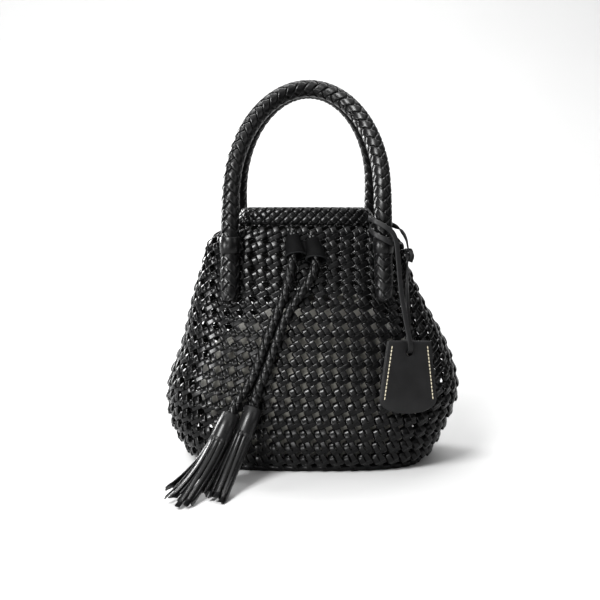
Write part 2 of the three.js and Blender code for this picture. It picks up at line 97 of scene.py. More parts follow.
# The drop ends at this share of a turn from the middle of the back, and fades over the last part of it.
BACK_REACH = 0.3
BACK_FADE = 0.1
WEAVE_INSET = (0.4, 1.3)
WEAVE_TOP_Z = 229
SQUARE_ACROSS = (0.4, -0.2)
SQUARE_DOWN = (0.2, 0.4)
SQUARE_MM = 5.65
STRAND_HALF = 0.45
LEVEL_HALF = 0.38
STRAND_THICK = 1.3
# Where the wall turns under into the base: section height, inset and level.
BASE_TURN = (
    (6, 2.6, 6), (4, 2.9, 4.4), (2.5, 3.8, 3.4), (1, 5.5, 3.0), (0, 8, 2.9), (0, 14, 2.9), (0, 20, 2.9),
)

# One pass of an upright strand: squares across and down from its gap, and millimetres out of the wall.
UPRIGHT_PASS = np.array([
    (0, 0.43, -1.7), (0, 0.44, -0.5), (0, 0.48, 0.5), (0, 0.58, 1.1), (0, 0.74, 1.5), (0, 0.95, 1.7),
    (0, 1.20, 1.75), (0, 1.40, 1.65), (0, 1.52, 1.3), (0, 1.59, 0.6), (0, 1.65, -0.2), (0, 1.82, -0.9),
    (0, 2.10, -1.0), (0, 2.24, -0.7), (0, 2.33, -0.2), (0, 2.42, 0.2), (0, 2.57, 0.45), (0, 2.85, 0.72),
    (0, 3.12, 0.95), (0, 3.36, 1.05), (0, 3.51, 0.8), (0, 3.60, 0.1), (0, 3.65, -0.7), (0, 3.67, -1.3),
    (-0.15, 3.4, -2.1), (-0.5, 2.95, -2.2), (-0.85, 2.55, -2.0),
])
UPRIGHT_STEP = (-1, 2)
# The passes of the lower rows lean: their upper ends tuck in and their lower ends stand out.
LEAN_ROWS = (9, 13, 17)
LEAN_MM = (0, 3.0, 2.8)
LEAN_DOWN = (0.43, 1.55, 1.75, 2.15, 2.3, 3.55, 3.67)
LEAN_SHARE = (-0.5, 0.5, 0, 0, -0.4, 0.4, 0.1)
# How many points of a pass lean: all but the last, which cross behind it.
LEAN_POINTS = 24
# One pass of a level strand: out of its gap, over two squares, and down behind the next upright strand.
LEVEL_PASS = np.array([
    (-1.56, 4.0, -1.7), (-1.55, 4.0, -0.8), (-1.48, 4.0, 0.0), (-1.33, 4.0, 0.35), (-1.0, 4.0, 0.4),
    (-0.5, 4.0, 0.25), (0, 4.0, 0.35), (0.3, 4.0, 0.15), (0.5, 4.0, -0.4), (0.68, 4.1, -1.1),
    (0.78, 4.4, -1.8), (0.66, 4.8, -2.1),
])
LEVEL_STEP = (2, 1)
# Unevenness of each pass: squares across, squares down, and millimetres out of the wall.
WEAVE_UNEVEN = (0.025, 0.025, 0.16)

# Edge strand and plain woven base.
EDGE_Z = 2.75
EDGE_INSET = 1.9
EDGE_HALF = 2.5
EDGE_SWELL = 0.5
EDGE_STEPS = 8
BASE_INSET = 9
BASE_PITCH = 9.2
BASE_STRAND = 7.6
BASE_LEVEL = 3.0
BASE_WAVE = 0.75

# Braids: steps from crossing to crossing, and in thicknesses of the lace, its lift there and its depth.
BRAID_STEPS = 6
BRAID_LIFT = 0.56
BRAID_SINK = 1.06
BAND_POINTS = 30

# Rim: a flat braid round the mouth.
RIM_LOW = 215.2
RIM_TOP = 231.5
RIM_PROUD = 2.5
RIM_DEEP = 5.5
RIM_STRANDS = 4
RIM_PITCH = 33.6
RIM_LACE = 1.5

# Handles: round braids that stand on the wall, arch over and lean together at the top.
HANDLE_RADIUS = 8
HANDLE_CENTRE_X = -5.4
HANDLE_HALF_SPAN = 66.4
HANDLE_ARCH_BASE = 247
HANDLE_ARCH_RISE = 94.5
HANDLE_TOP_SHIFT = 2.5
HANDLE_LEG_Y = 67
HANDLE_SEAT_Z = (151, 160, 168, 176, 186)
HANDLE_SEAT_OUT = 8.96
HANDLE_LEAN_IN = ((199, 67), (208, 67), (220, 65.4), (234, 62))
HANDLE_ARCH_Y = 58
HANDLE_ARCH_POINTS = 15
HANDLE_TOP_Y = 8.4
HANDLE_LEAN_EASE = 1.12
HANDLE_STRANDS = 4
HANDLE_PITCH = 40
HANDLE_LACE = 1.3
HANDLE_TAPER = 18
HANDLE_END_SHARE = 0.55
HANDLE_PHASE = 0.25
COLLAR_Z = (192, 206)
COLLAR_INSIDE = 8.1
COLLAR_LEATHER = 0.8
COLLAR_EDGE = 0.35
COLLAR_SWELL = 0.15
COLLAR_SIDES = 48

# Drawstrings: routes as in the part, with one point more that runs on into the head of the tassel.
ROUTE_SPACING = 1.0
CORD_RADIUS = 3.8
CORD_STRANDS = 2
CORD_PITCH = 22.4
CORD_LACE = 1.6
CORD_SWELL = 0.6
DRAWSTRING_LEFT = [
    (-17.8, -60.6, 212.5), (-17.8, -62.2, 209), (-17.4, -65.3, 204), (-16.9, -67.8, 199),
    (-16.7, -70.3, 194), (-17.2, -72.2, 188.5), (-18.9, -72.8, 179.5), (-20.9, -73.2, 169.1),
    (-24.7, -74.3, 156.3), (-31.3, -76.5, 139.3), (-37.3, -78.4, 124), (-42.4, -79.8, 110.6),
    (-47.9, -81, 95.5), (-53.2, -82, 83.8), (-59.3, -83.3, 74.2), (-63, -85.2, 68.6),
    (-66.4, -88.3, 63.2), (-69.4, -91.7, 57.5), (-70.5, -93.2, 54.9),
]
DRAWSTRING_RIGHT = [
    (-1.2, -60.6, 210), (-1.2, -62.2, 206.5), (-0.6, -65.3, 201.5), (0.6, -67.8, 196.5),
    (1.8, -70.3, 191.5), (2.6, -72.2, 186.5), (1.4, -72.9, 179.5), (-3.5, -73.3, 168.3),
    (-10.3, -74.2, 158), (-17.2, -75.6, 147.8), (-23.2, -77.2, 137.3), (-27.9, -78.7, 125.8),
    (-31.6, -79.9, 115.7), (-35.6, -81, 104.8), (-41, -82.2, 89.5), (-45.4, -82.8, 80.5),
    (-48.4, -83.6, 72), (-49.6, -85.2, 63.1), (-51.1, -87.2, 59.2),
]

# Slider: a double tunnel of leather on the two cords. Each tunnel has its top, its bottom, and the slope of
# its lower edge, down to the right.
SLIDER_TUNNELS = (
    ((-17.7, -64.6, 206), (-14.6, -72.6, 189.5), 0.05),
    ((-0.9, -64.6, 203.5), (3.3, -72.6, 186.5), 0.28),
)
SLIDER_RADII = (6.2, 9.6)
SLIDER_FLARE = 1.4
SLIDER_LEATHER = 1.8
SLIDER_STEPS = 9
SLIDER_SIDES = 48
# Half of a cut edge: how far it lies inside the outer face, and how far beyond the end.
SLIDER_LIP = ((-0.05, -0.5), (0.12, 0.1), (0.5, 0.25))
# Web: where it starts and how far it stands forward, in radii of the tunnels, and how far its sides rise.
WEB_START = 0.6
WEB_FORWARD = 0.2
WEB_RISE = 2.2
WEB_POINTS = 9

# Tassels: a wound head, and layers of strips that run on from it.
TASSEL_HEAD_RADII = (7.9, 8.3)
TASSEL_HEAD_LENGTH = 25
TASSEL_STRIP_HALF = 2.15
TASSEL_STRIP_THICK = 1.0
TASSEL_STRIP_STEPS = 12
TASSEL_ROOT_DEPTH = 3
TASSEL_BEND = 0.42
TASSEL_FLOOR = 0.8
# Layers of strips: how many, the radius of their roots, and their share of the spread.
TASSEL_LAYERS = ((11, 7.75, 1.0), (7, 5.2, 0.6))
# Unevenness of the strips: their place round the head, reach, cut, curl and twist.
STRIP_PLACE = 0.16
STRIP_REACH = (0.94, 1.1)
STRIP_CUT = (-3.5, 1.0)
STRIP_CURL = 0.4
STRIP_TWIST = 0.2
# Start and direction of the head, middle of the tips, and how far they spread sideways and forward.
TASSELS = {
    "left": ((-69.6, -92, 56.9), (-0.37, -0.46, -0.807), (-107, -149, 4.8), (11, -9, -3), (-3, -10, -0.5)),
    "right": ((-50.3, -86, 61.4), (-0.35, -0.38, -0.856), (-80, -137, 2.8), (9.5, -9, -1), (-2, -8, -0.4)),
}

# Tag: two layers of leather that hang from the lace.
TAG_TOP = 40.5
TAG_BOTTOM = 53
TAG_HEIGHT = 61.5
TAG_ROUND = 12.5
TAG_LAYER = 1.45
TAG_LAYER_GAP = 0.1
TAG_BACK_GROW = 0.35
TAG_EDGE = 0.5
TAG_BOW = 0.5
TAG_POINTS = 144
TAG_HOLE = (3.2, 9.8)
TAG_PLACE = (83, -72.6, 116.7)
# Turns about x, y and z, in this order.
TAG_TURNS_DEG = (-4, 3, 19)
STITCHES = 15
STITCH_INSET = 3.6
STITCH_BELOW_TOP = 4.0
STITCH_BELOW_SHOULDER = 1.0
STITCH_SHARE = np.array([0.2, 0.8])
STITCH_POINTS = 6
STITCH_THICK = 0.95
STITCH_ARC = 0.4
STITCH_SINK = 0.1

# Tag lace, as in the part: x, y, z, the compass direction of its flat side, and that side's tilt.
# Directions and tilts are counted on through the turns.
LACE_SPACING = 1.2
LACE_WIDTH = 4.4
LACE_THICK = 1.6
LACE_ROUTE = [
    (85, -43.2, 195.9, 90, 0), (83, -49.6, 203, 85, 0), (78.6, -56.6, 210, 80, 0), (73, -58, 214.6, 115, 0),
    (67.2, -56.3, 216.8, 150, 0), (61, -55.4, 217.2, 180, 0), (53.2, -58.6, 216.2, 225, 0),
    (49.6, -67, 213, 270, 0), (53, -75.2, 208.8, 315, 0), (61, -78.5, 204.3, 360, 0),
    (69.2, -75.4, 200.2, 405, 0), (72.8, -67, 199.4, 450, 0), (70.6, -57.4, 203.4, 495, 0),
    (61, -52.8, 210, 540, 0), (51.4, -57.2, 218, 585, 0), (48.8, -67, 221.8, 630, 0),
    (52.8, -75.4, 220, 675, 0), (61, -78.8, 215.4, 720, 0), (68, -78.6, 210, 732, 0),
    (71.2, -78.2, 202, 739, 0), (72.4, -78.2, 192, 739, 0), (73.6, -78.2, 178, 739, 0),
    (75, -78.2, 162, 739, 0), (77.4, -78.2, 146, 739, 0), (80.4, -78.5, 129, 739, 0),
    (83, -78.7, 115.2, 739, 0), (83.4, -77.7, 110.3, 739, -30), (83, -75.6, 107.5, 739, -65),
    (82.5, -73.3, 106.8, 739, -90), (81.9, -71.1, 107.7, 739, -120), (81.7, -69.4, 110.6, 739, -160),
    (82.2, -68.8, 116.2, 739, -180), (82.6, -67.6, 128, 745, -180), (82.4, -64.8, 143, 755, -180),
    (82.2, -61.8, 157, 770, -180), (82.6, -57, 170, 790, -180), (83.8, -50, 181.4, 805, -180),
    (84.6, -46, 186, 810, -180),
]
KNOT_CENTRE = (85.4, -41.2, 191)
KNOT_SIZE = 3.9
KNOT_DEEP = 1.5
KNOT_POINTS = 60
KNOT_LACE = (1.7, 1.5)
KNOT_TAILS = (
    ((1.5, -2.5, 2), (3.2, -4.6, -2.5), (1.6, -5.2, -8.2)),
    ((-1, -2, -2), (-0.8, -4.6, -4.6), (-1.4, -5, -7)),
)
KNOT_TAIL_SPACING = 0.8
KNOT_TAIL_HALF = 1.9
KNOT_TAIL_SIDE = (0.9, 0.35, 0.2)

# Pouch cloth: where its wrinkles and its gathers start is a share of its height.
POUCH_COLUMNS = 192
POUCH_LEVELS = 64
POUCH_CLOTH = 1.0
POUCH_FOLDS = 17
POUCH_FOLD_DEEP = 0.12
POUCH_GATHER_DEEP = 1.7
POUCH_SLACK_DEEP = 0.4
POUCH_EASE = 0.1
POUCH_SWELL = 2.4
POUCH_WRINKLED_BY = 1 / 6
POUCH_GATHER_FROM = 0.55

# Floor and light, in metres and watts. Each lamp has its place, aim, size and power.
FLOOR_HALF_WIDTH = 4.0
FLOOR_FRONT = -0.5
FLOOR_BACK = 1.3
FLOOR_SWEEP = 0.7
FLOOR_SWEEP_STEPS = 16
FLOOR_TOP = 3.0
ROOM_STRENGTH = 0.05
LAMPS = {
    "key": ((-0.72, -1.2, 1.4), (0, 0, 0.15), (0.6, 0.6), 77),
    "side": ((-1.25, -0.72, 0.16), (0, 0, 0.05), (0.35, 0.3), 22),
    "fill": ((1.3, -0.9, 1.0), (0, 0, 0.1), (0.8, 0.8), 5),
    "front": ((-0.15, -1.75, 0.6), (0, 0, 0.15), (0.9, 1.1), 5),
    "low": ((-0.62, -1.4, 0.06), (0, 0, 0.06), (0.5, 0.3), 9),
    "rim": ((-0.95, 0.8, 0.6), (-0.09, -0.1, 0.05), (0.5, 0.6), 28),
    "overhead": ((0.1, -0.35, 2.1), (0, 0.2, 0), (2.6, 1.8), 31),
    "backdrop": ((0, 0.75, 2.4), (0, 1.25, 0.5), (2.6, 0.5), 70),
}

# Tones of each material, the darkest and the lightest.
BLACK_TONES = ((0.0008, 0.0008, 0.00085), (0.002, 0.002, 0.0021))
MATTE_TONES = ((0.004, 0.004, 0.0042), (0.007, 0.007, 0.0073))
FRINGE_TONES = ((0.003, 0.003, 0.0031), (0.006, 0.006, 0.0062))
# The slider's tones, darker than the matte leather's, are painted shade.
SHADED_MATTE_TONES = ((0.0012, 0.0012, 0.0013), (0.0026, 0.0026, 0.0027))
CUT_TONES = ((0.006, 0.0063, 0.0066), (0.011, 0.0114, 0.0118))
CLOTH_TONES = ((0.165, 0.16, 0.142), (0.215, 0.209, 0.185))
THREAD_TONES = ((0.22, 0.196, 0.138), (0.35, 0.318, 0.236))
FLOOR_TONES = ((0.36, 0.36, 0.36), (0.38, 0.38, 0.38))
# Cut edges of a lace: their tone, and where they end and begin round its section.
LACE_EDGE = (0.003, 0.003, 0.003)
LACE_EDGE_STOPS = (0.0, 0.06, 0.56, 0.625)

# Grain of the materials: noise scales, and lengths and depths in metres.
DYE_SCALE = 70.0
GLOSS_SCALE = 240.0
CREASE_SCALE = 420.0
CREASE_DEPTH = 0.00004
PORE_DEPTH = 0.00003
FADE_SCALE = 38.0
SLUB_SCALE = 160.0
SLUB_DEPTH = 0.0006
YARN_PITCH = 0.0011
YARN_DEPTH = 0.00025
THREAD_SCALE = 900.0
TWIST_SCALE = 480.0
TWIST_DEPTH = 0.00012
FLOOR_SCALE = 1.6
# Length after which a wave texture of scale 1 repeats.
WAVE_LENGTH = math.pi / 10
# Colour sockets of a mix node
MIX_A = 6
MIX_B = 7
MIX_RESULT = 2


# Smooth values between knots: a cubic with each knot's slope taken from its neighbours.
def smooth_between(knots, values, at):
    knots = np.asarray(knots, float)
    values = np.asarray(values, float)
    at = np.asarray(at, float)
    last = len(knots) - 1
    before = np.maximum(np.arange(last + 1) - 1, 0)
    after = np.minimum(np.arange(last + 1) + 1, last)
    reach = knots[after] - knots[before]
    k = np.clip(np.searchsorted(knots, at, side="right") - 1, 0, last - 1)
    span = knots[k + 1] - knots[k]
    t = np.clip((at - knots[k]) / span, 0, 1)
    if values.ndim > 1:
        reach = reach[:, None]
        span = span[..., None]
        t = t[..., None]
    slope = (values[after] - values[before]) / reach
    rise = values[k + 1] - values[k]
    start_pull = slope[k] * span - rise
    end_pull = rise - slope[k + 1] * span
    return values[k] + rise * t + t * (1 - t) * (start_pull * (1 - t) + end_pull * t)


def unit(v):
    v = np.asarray(v, float)
    return v / np.maximum(np.linalg.norm(v, axis=-1, keepdims=True), 1e-12)


def run_along(points):
    return np.concatenate([[0], np.cumsum(np.linalg.norm(np.diff(points, axis=0), axis=1))])


# From the point before to the point after, at each point of a closed loop.
def past_neighbours(points, axis=0):
    return np.roll(points, -1, axis) - np.roll(points, 1, axis)


def section_value(table, key, z):
    return float(smooth_between(table[:, 0], table[:, SECTION_COLUMNS.index(key)], z))


# A quarter of a section from the front middle to the side middle, equally spaced in weave columns.
def quarter_section(table, z, inset, count):
    inset_across, inset_deep = np.broadcast_to(inset, 2)
    half_width = section_value(table, "half_width", z) - inset_across
    half_depth = section_value(table, "half_depth", z) - inset_deep
    power = 2 / section_value(table, "squareness", z)
    angle = np.linspace(0, math.pi / 2, QUARTER_STEPS + 1)
    across = np.sin(angle) ** power
    along = np.maximum(np.cos(angle), 0) ** power
    x = half_width * across - section_value(table, "fold", z) * (1 - along**2) ** 2 * across**4
    x = x * half_width / x.max()
    y = -half_depth * along
    run = run_along(np.stack([x, y], axis=1))
    part = run / run[-1]
    evenness = min(run[-1] / (SECTION_TURN / 4), 1)
    share = evenness * part + (1 - evenness) * part**BUNCH_POWER
    wanted = np.linspace(0, 1, count + 1)
    return np.stack([np.interp(wanted, share, x), np.interp(wanted, share, y)], axis=1)


# Closed section at a height, front middle first, then round by the right side.
def ring(table, z, inset, columns, level=None):
    quarter = columns // 4
    points = quarter_section(table, z, inset, quarter)
    index = np.arange(columns)
    step = index % (2 * quarter)
    point = points[np.where(step <= quarter, step, 2 * quarter - step)]
    side = np.where(index < 2 * quarter, 1, -1)
    face = np.where((index <= quarter) | (index > 3 * quarter), 1, -1)
    x = point[:, 0] * side + section_value(table, "lean", z)
    height = np.full(columns, float(z if level is None else level))
    return np.stack([x, point[:, 1] * face, height], axis=1)


# Distance of the body's front wall from the middle plane at a place across the front.
def wall_depth(x, z):
    points = quarter_section(BODY_SECTIONS, z, 0, WALL_STEPS)
    return -np.interp(abs(x - section_value(BODY_SECTIONS, "lean", z)), points[:, 0], points[:, 1])


# Surface that a weave is laid on: columns run round it, and rows run down it from the first row's height.
class Skin:
    def __init__(self, rings):
        self.points = np.array(rings)
        front = self.points[:, 0]
        run = run_along(front)
        self.arc = run - np.interp(-WEAVE_FIRST_Z, -front[:, 2], run)
        down_way = np.gradient(self.points, axis=0)
        self.normals = unit(np.cross(down_way, past_neighbours(self.points, axis=1)))

    # Points at columns and rows, so many millimetres out of the surface.
    def at(self, column, row, out):
        turn = np.interp(np.mod(column, WEAVE_COLUMNS), WEAVE_QUARTERS, (0, 0.25, 0.5, 0.75, 1))
        behind = np.clip((BACK_REACH - np.abs(turn - 0.5)) / BACK_FADE, 0, 1)
        row = row + np.interp(row, BACK_DROP_ROWS, BACK_DROP) * behind * behind * (3 - 2 * behind)
        level = np.interp(row * WEAVE_ROW_PITCH, self.arc, np.arange(len(self.arc)))
        low = np.minimum(level.astype(int), len(self.arc) - 2)
        samples = self.points.shape[1]
        place_round = turn * samples
        left = np.floor(place_round).astype(int)
        u = (place_round - left)[..., None]
        v = (level - low)[..., None]
        left = left % samples
        right = (left + 1) % samples

        def blend(grid):
            upper = grid[low, left] * (1 - u) + grid[low, right] * u
            lower = grid[low + 1, left] * (1 - u) + grid[low + 1, right] * u
            return upper * (1 - v) + lower * v

        return blend(self.points) + unit(blend(self.normals)) * out[..., None]


# Section of a leather lace: across it and through its thickness.
def lace_section(half_width, thick, crown=0.07, shoulder=0.86):
    return np.array([
        (-half_width, 0.1 * thick), (-shoulder * half_width, (0.5 - crown) * thick),
        (-0.6 * half_width, 0.5 * thick), (0.6 * half_width, 0.5 * thick),
        (shoulder * half_width, (0.5 - crown) * thick), (half_width, 0.1 * thick),
        (0.9 * half_width, -0.5 * thick), (-0.9 * half_width, -0.5 * thick),
    ])


# Quads of a tube whose sections are rows of points, closed on itself or capped at its ends.
def tube_quads(count, sides, closed):
    rows = np.arange(count if closed else count - 1)[:, None]
    cols = np.arange(sides)[None, :]
    after = (rows + 1) % count
    turn = (cols + 1) % sides
    corners = [rows * sides + cols, rows * sides + turn, after * sides + turn, after * sides + cols]
    quads = np.stack(corners, axis=-1).reshape(-1, 4)
    if closed:
        return quads
    step = np.arange(sides // 2 - 1)
    cap = np.stack([step, sides - 1 - step, sides - 2 - step, step + 1], axis=1)
    return np.concatenate([quads, cap[:, ::-1], cap + (count - 1) * sides])


# Meshes that are joined into one piece, each turned so that its faces point out.
class Sheaf:
    def __init__(self):
        self.vertices = []
        self.quads = []
        self.coords = []
        self.finishes = []
        self.count = 0

    def add(self, vertices, quads, coords, finish=0):
        a, b, c, d = (vertices[quads[:, i]] for i in range(4))
        middle = vertices.mean(axis=0)
        volume = np.einsum("ij,ij->", (a + b + c + d) / 4 - middle, np.cross(c - a, d - b))
        self.quads.append((quads if volume > 0 else quads[:, ::-1]) + self.count)
        self.vertices.append(vertices)
        self.coords.append(coords)
        self.finishes.append(np.full(len(quads), finish, np.int32))
        self.count += len(vertices)

    # A tube from sections of points: rows, sides, xyz.
    def tube(self, sections, closed=False, finish=0):
        rows, sides, _ = sections.shape
        run = run_along(sections.mean(axis=1))
        across = np.broadcast_to(np.arange(sides) / sides, (rows, sides))
        along = np.broadcast_to(run[:, None] * MM, (rows, sides))
        coords = np.stack([across, along], axis=-1).reshape(-1, 2)
        self.add(sections.reshape(-1, 3), tube_quads(rows, sides, closed), coords, finish)

    # A mesh object of everything added, in metres.
    def piece(self, name, *materials):
        quads = np.concatenate(self.quads)
        coords = np.concatenate(self.coords)
        mesh = bpy.data.meshes.new(name)
        mesh.from_pydata(np.concatenate(self.vertices) * MM, [], quads, shade_flat=False)
        mesh.polygons.foreach_set("material_index", np.concatenate(self.finishes))
        layer = mesh.uv_layers.new(name="Lay")
        layer.data.foreach_set("uv", coords[quads.ravel()].astype(np.float32).ravel())
        for material in materials:
            mesh.materials.append(material)
        obj = bpy.data.objects.new(name, mesh)
        bpy.context.scene.collection.objects.link(obj)
        return obj


# A finished piece: it rides on the bag, and it may stand for solids, which are hidden.
def dress(piece, slot, *nodes):
    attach(piece, "root")
    if nodes:
        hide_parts(*nodes)
    return piece


# Dense points along a smooth curve through a route, about a spacing apart.
def smooth_route(points, spacing):
    points = np.asarray(points, float)
    run = run_along(points[:, :3])
    count = max(int(run[-1] / spacing), 8)
    return smooth_between(run, points, np.linspace(0, run[-1], count + 1))


# A path with a frame that follows it: place, normal and side at each distance along.
class Path:
    def __init__(self, points, first_normal=None, normals=None, closed=False):
        self.points = np.asarray(points, float)
        self.closed = closed
        self.run = run_along(self.points)
        self.length = self.run[-1]
        tangents = unit(np.gradient(self.points, axis=0))
        if normals is None:
            normals = []
            normal = np.asarray(first_normal, float)
            for tangent in tangents:
                normal = unit(normal - tangent * normal.dot(tangent))
                normals.append(normal)
        self.normals = np.asarray(normals)
        self.sides = np.cross(tangents, self.normals)

    def at(self, s):
        s = np.mod(s, self.length) if self.closed else np.clip(s, 0, self.length)
        grids = (self.points, self.normals, self.sides)
        place_at, normal, side = (
            np.stack([np.interp(s, self.run, grid[:, i]) for i in range(3)], axis=-1) for grid in grids
        )
        return place_at, unit(normal), unit(side)


# How far over (1) or under (-1) a strand lies at its x-th crossing, when it passes run strands at a time.
def over_under(x, run, ease):
    y = np.mod(x + 0.5, 2 * run)
    inside = np.where(y < run, np.minimum(y, run - y), -np.minimum(y - run, 2 * run - y))
    return np.sin(np.clip(inside / ease, -1, 1) * math.pi / 2)


# Braid round a path: strands turn each way, and outline(share, out, s) gives a point of the section.
def braid(sheaf, path, outline, strands, run, pitch, thick, phase=0.0, half=0.455, ease=0.3, crown=0.07):
    section = lace_section(half, thick, crown)
    turns = 2 * strands * path.length / pitch
    count = int(round(turns * BRAID_STEPS))
    along = np.arange(count) / BRAID_STEPS if path.closed else np.linspace(0, turns, count + 1)
    for way in (1, -1):
        for strand in range(strands):
            own = strand + section[None, :, 0]
            other = strand + way * along[:, None] + 0 * own
            lift = way * over_under(strand + other[:, :1], run, ease) * thick * BRAID_LIFT
            share = (own + other) / (2 * strands) + phase
            s = way * (other - own) * pitch / (2 * strands)
            place_at, normal, side = path.at(s)
            x, y = outline(share, lift + section[None, :, 1], s)
            sheaf.tube(place_at + normal * x[..., None] + side * y[..., None], closed=path.closed)


# Round outline of a radius, narrowed towards the path's ends where a taper is given.
def round_outline(radius, thick, length=0.0, taper=0.0, end_share=1.0):
    def outline(share, out, s):
        r = radius - thick * BRAID_SINK + out
        if taper:
            near = np.clip(np.minimum(s, length - s) / taper, 0, 1)
            r = r * (end_share + (1 - end_share) * np.sqrt(near * (2 - near)))
        angle = 2 * math.pi * share
        return r * np.cos(angle), r * np.sin(angle)
    return outline


# Flat outline with round edges: x goes through the band and y across it.
def band_outline(half_deep, half_tall, thick):
    radius = half_deep - thick * BRAID_SINK
    straight = half_tall - half_deep
    flat = np.linspace(-straight, straight, BAND_POINTS)
    turn = np.linspace(0, math.pi, BAND_POINTS)
    end = np.full(BAND_POINTS, straight)
    normal_x = np.concatenate([0 * flat + 1, np.cos(turn), 0 * flat - 1, -np.cos(turn)])
    normal_y = np.concatenate([0 * flat, np.sin(turn), 0 * flat, -np.sin(turn)])
    x = radius * normal_x
    y = radius * normal_y + np.concatenate([flat, end, -flat, -end])
    knots = run_along(np.stack([x, y], axis=1))
    knots = knots / knots[-1]

    def outline(share, out, s):
        share = np.mod(share, 1)
        px, py, nx, ny = (np.interp(share, knots, values) for values in (x, y, normal_x, normal_y))
        return px + nx * out, py + ny * out
    return outline


# Shell of revolution about an axis: rows of distance along it and radius, joined last to first.
def turned(sheaf, start, axis, profile, sides=36):
    axis = unit(axis)
    first = unit(np.cross(axis, TURN_START))
    second = np.cross(axis, first)
    angle = np.linspace(0, 2 * math.pi, sides, endpoint=False)
    circle = np.cos(angle)[:, None] * first + np.sin(angle)[:, None] * second
    rows = [np.asarray(start) + axis * along + circle * radius for along, radius in profile]
    sheaf.tube(np.array(rows), closed=True)


# A section set on each point: its width lies across, and its thickness along the normal.
def set_sections(points, across, normal, section):
    return points[:, None] + across[:, None] * section[:, :1] + normal[:, None] * section[:, 1:]


# Flat strip along points: the sides, or one side for all, say which way its width lies.
def strip(sheaf, points, sides, section):
    tangents = unit(np.gradient(points, axis=0))
    across = unit(sides - tangents * np.sum(sides * tangents, axis=1, keepdims=True))
    sheaf.tube(set_sections(points, across, np.cross(tangents, across), section))


# Node material helpers
class Shader:
    def __init__(self, name):
        self.material = bpy.data.materials.new(name)
        self.material.use_nodes = True
        self.tree = self.material.node_tree
        self.main = self.tree.nodes["Principled BSDF"]
        self.coords = self.tree.nodes.new("ShaderNodeTexCoord")

    def node(self, kind, **values):
        made = self.tree.nodes.new(kind)
        for key, value in values.items():
            if key in made.inputs:
                made.inputs[key].default_value = value
            else:
                setattr(made, key, value)
        return made

    def link(self, source, target):
        self.tree.links.new(source, target)

    # A noise of a scale in object metres.
    def noise(self, scale, detail=4.0):
        made = self.node("ShaderNodeTexNoise", Scale=scale, Detail=detail)
        self.link(self.coords.outputs["Object"], made.inputs["Vector"])
        return made.outputs["Fac"]

    # Colours at places along a value.
    def ramp(self, value, *stops):
        made = self.node("ShaderNodeValToRGB")
        elements = made.color_ramp.elements
        while len(elements) < len(stops):
            elements.new(0.5)
        for element, (position, colour) in zip(elements, stops):
            element.position = position
            element.color = (*colour, 1)
        self.link(value, made.inputs["Fac"])
        return made.outputs["Color"]

    # A tone that wanders between the darkest and the lightest.
    def tone(self, scale, tones, detail=4.0, lightest_at=0.7):
        dark, light = tones
        return self.ramp(self.noise(scale, detail), (0.3, dark), (lightest_at, light))

    def spread(self, value, low, high):
        made = self.node("ShaderNodeMapRange", **{"To Min": low, "To Max": high})
        self.link(value, made.inputs["Value"])
        return made.outputs["Result"]

    # Adds a relief of a depth in metres on what is there already.
    def relief(self, height, depth, strength=1.0):
        made = self.node("ShaderNodeBump", Distance=depth, Strength=strength)
        self.link(height, made.inputs["Height"])
        before = self.main.inputs["Normal"]
        if before.is_linked:
            self.link(before.links[0].from_socket, made.inputs["Normal"])
        self.link(made.outputs["Normal"], before)

    # Adds a relief of waves in a direction.
    def waves(self, direction, scale, depth, strength):
        made = self.node("ShaderNodeTexWave", bands_direction=direction, Scale=scale)
        self.link(self.coords.outputs["Object"], made.inputs["Vector"])
        self.relief(made.outputs["Fac"], depth, strength)


# Dyed leather: fine pores, soft creases, uneven dye and gloss, and paler cut edges where laces have them.
def leather(name, tones, rough, pore=1500.0, edge=None, gloss=0.18):
    shader = Shader(name)
    colour = shader.tone(DYE_SCALE, tones, 5.0)
    if edge is not None:
        across = shader.node("ShaderNodeSeparateXYZ")
        shader.link(shader.coords.outputs["UV"], across.inputs["Vector"])
        black = (0, 0, 0)
        white = (1, 1, 1)
        cut = shader.ramp(across.outputs["X"], *zip(LACE_EDGE_STOPS, (white, black, black, white)))
        mix = shader.node("ShaderNodeMix", data_type="RGBA")
        shader.link(cut, mix.inputs["Factor"])
        shader.link(colour, mix.inputs[MIX_A])
        mix.inputs[MIX_B].default_value = (*edge, 1)
        colour = mix.outputs[MIX_RESULT]
    shader.link(colour, shader.main.inputs["Base Color"])
    roughness = shader.spread(shader.noise(GLOSS_SCALE), rough - 0.08, rough + 0.1)
    shader.link(roughness, shader.main.inputs["Roughness"])
    pores = shader.node("ShaderNodeTexVoronoi", Scale=pore)
    shader.link(shader.coords.outputs["Object"], pores.inputs["Vector"])
    shader.relief(pores.outputs["Distance"], PORE_DEPTH, 0.4)
    shader.relief(shader.noise(CREASE_SCALE, 3.0), CREASE_DEPTH, 0.6)
    shader.main.inputs["Specular IOR Level"].default_value = gloss
    return shader.material


# Plain woven cloth: two crossing sets of threads, slubs and a faded tone.
def cloth(name, tones):
    shader = Shader(name)
    shader.link(shader.tone(FADE_SCALE, tones, 6.0, 0.72), shader.main.inputs["Base Color"])
    shader.main.inputs["Roughness"].default_value = 0.93
    shader.main.inputs["Sheen Weight"].default_value = 0.25
    for direction in ("X", "Z"):
        shader.waves(direction, WAVE_LENGTH / YARN_PITCH, YARN_DEPTH, 0.5)
    shader.relief(shader.noise(SLUB_SCALE, 5.0), SLUB_DEPTH, 0.6)
    return shader.material


# Twisted thread of the stitches.
def thread(name, tones):
    shader = Shader(name)
    shader.link(shader.tone(THREAD_SCALE, tones), shader.main.inputs["Base Color"])
    shader.main.inputs["Roughness"].default_value = 0.8
    shader.waves("DIAGONAL", TWIST_SCALE, TWIST_DEPTH, 0.7)
    return shader.material


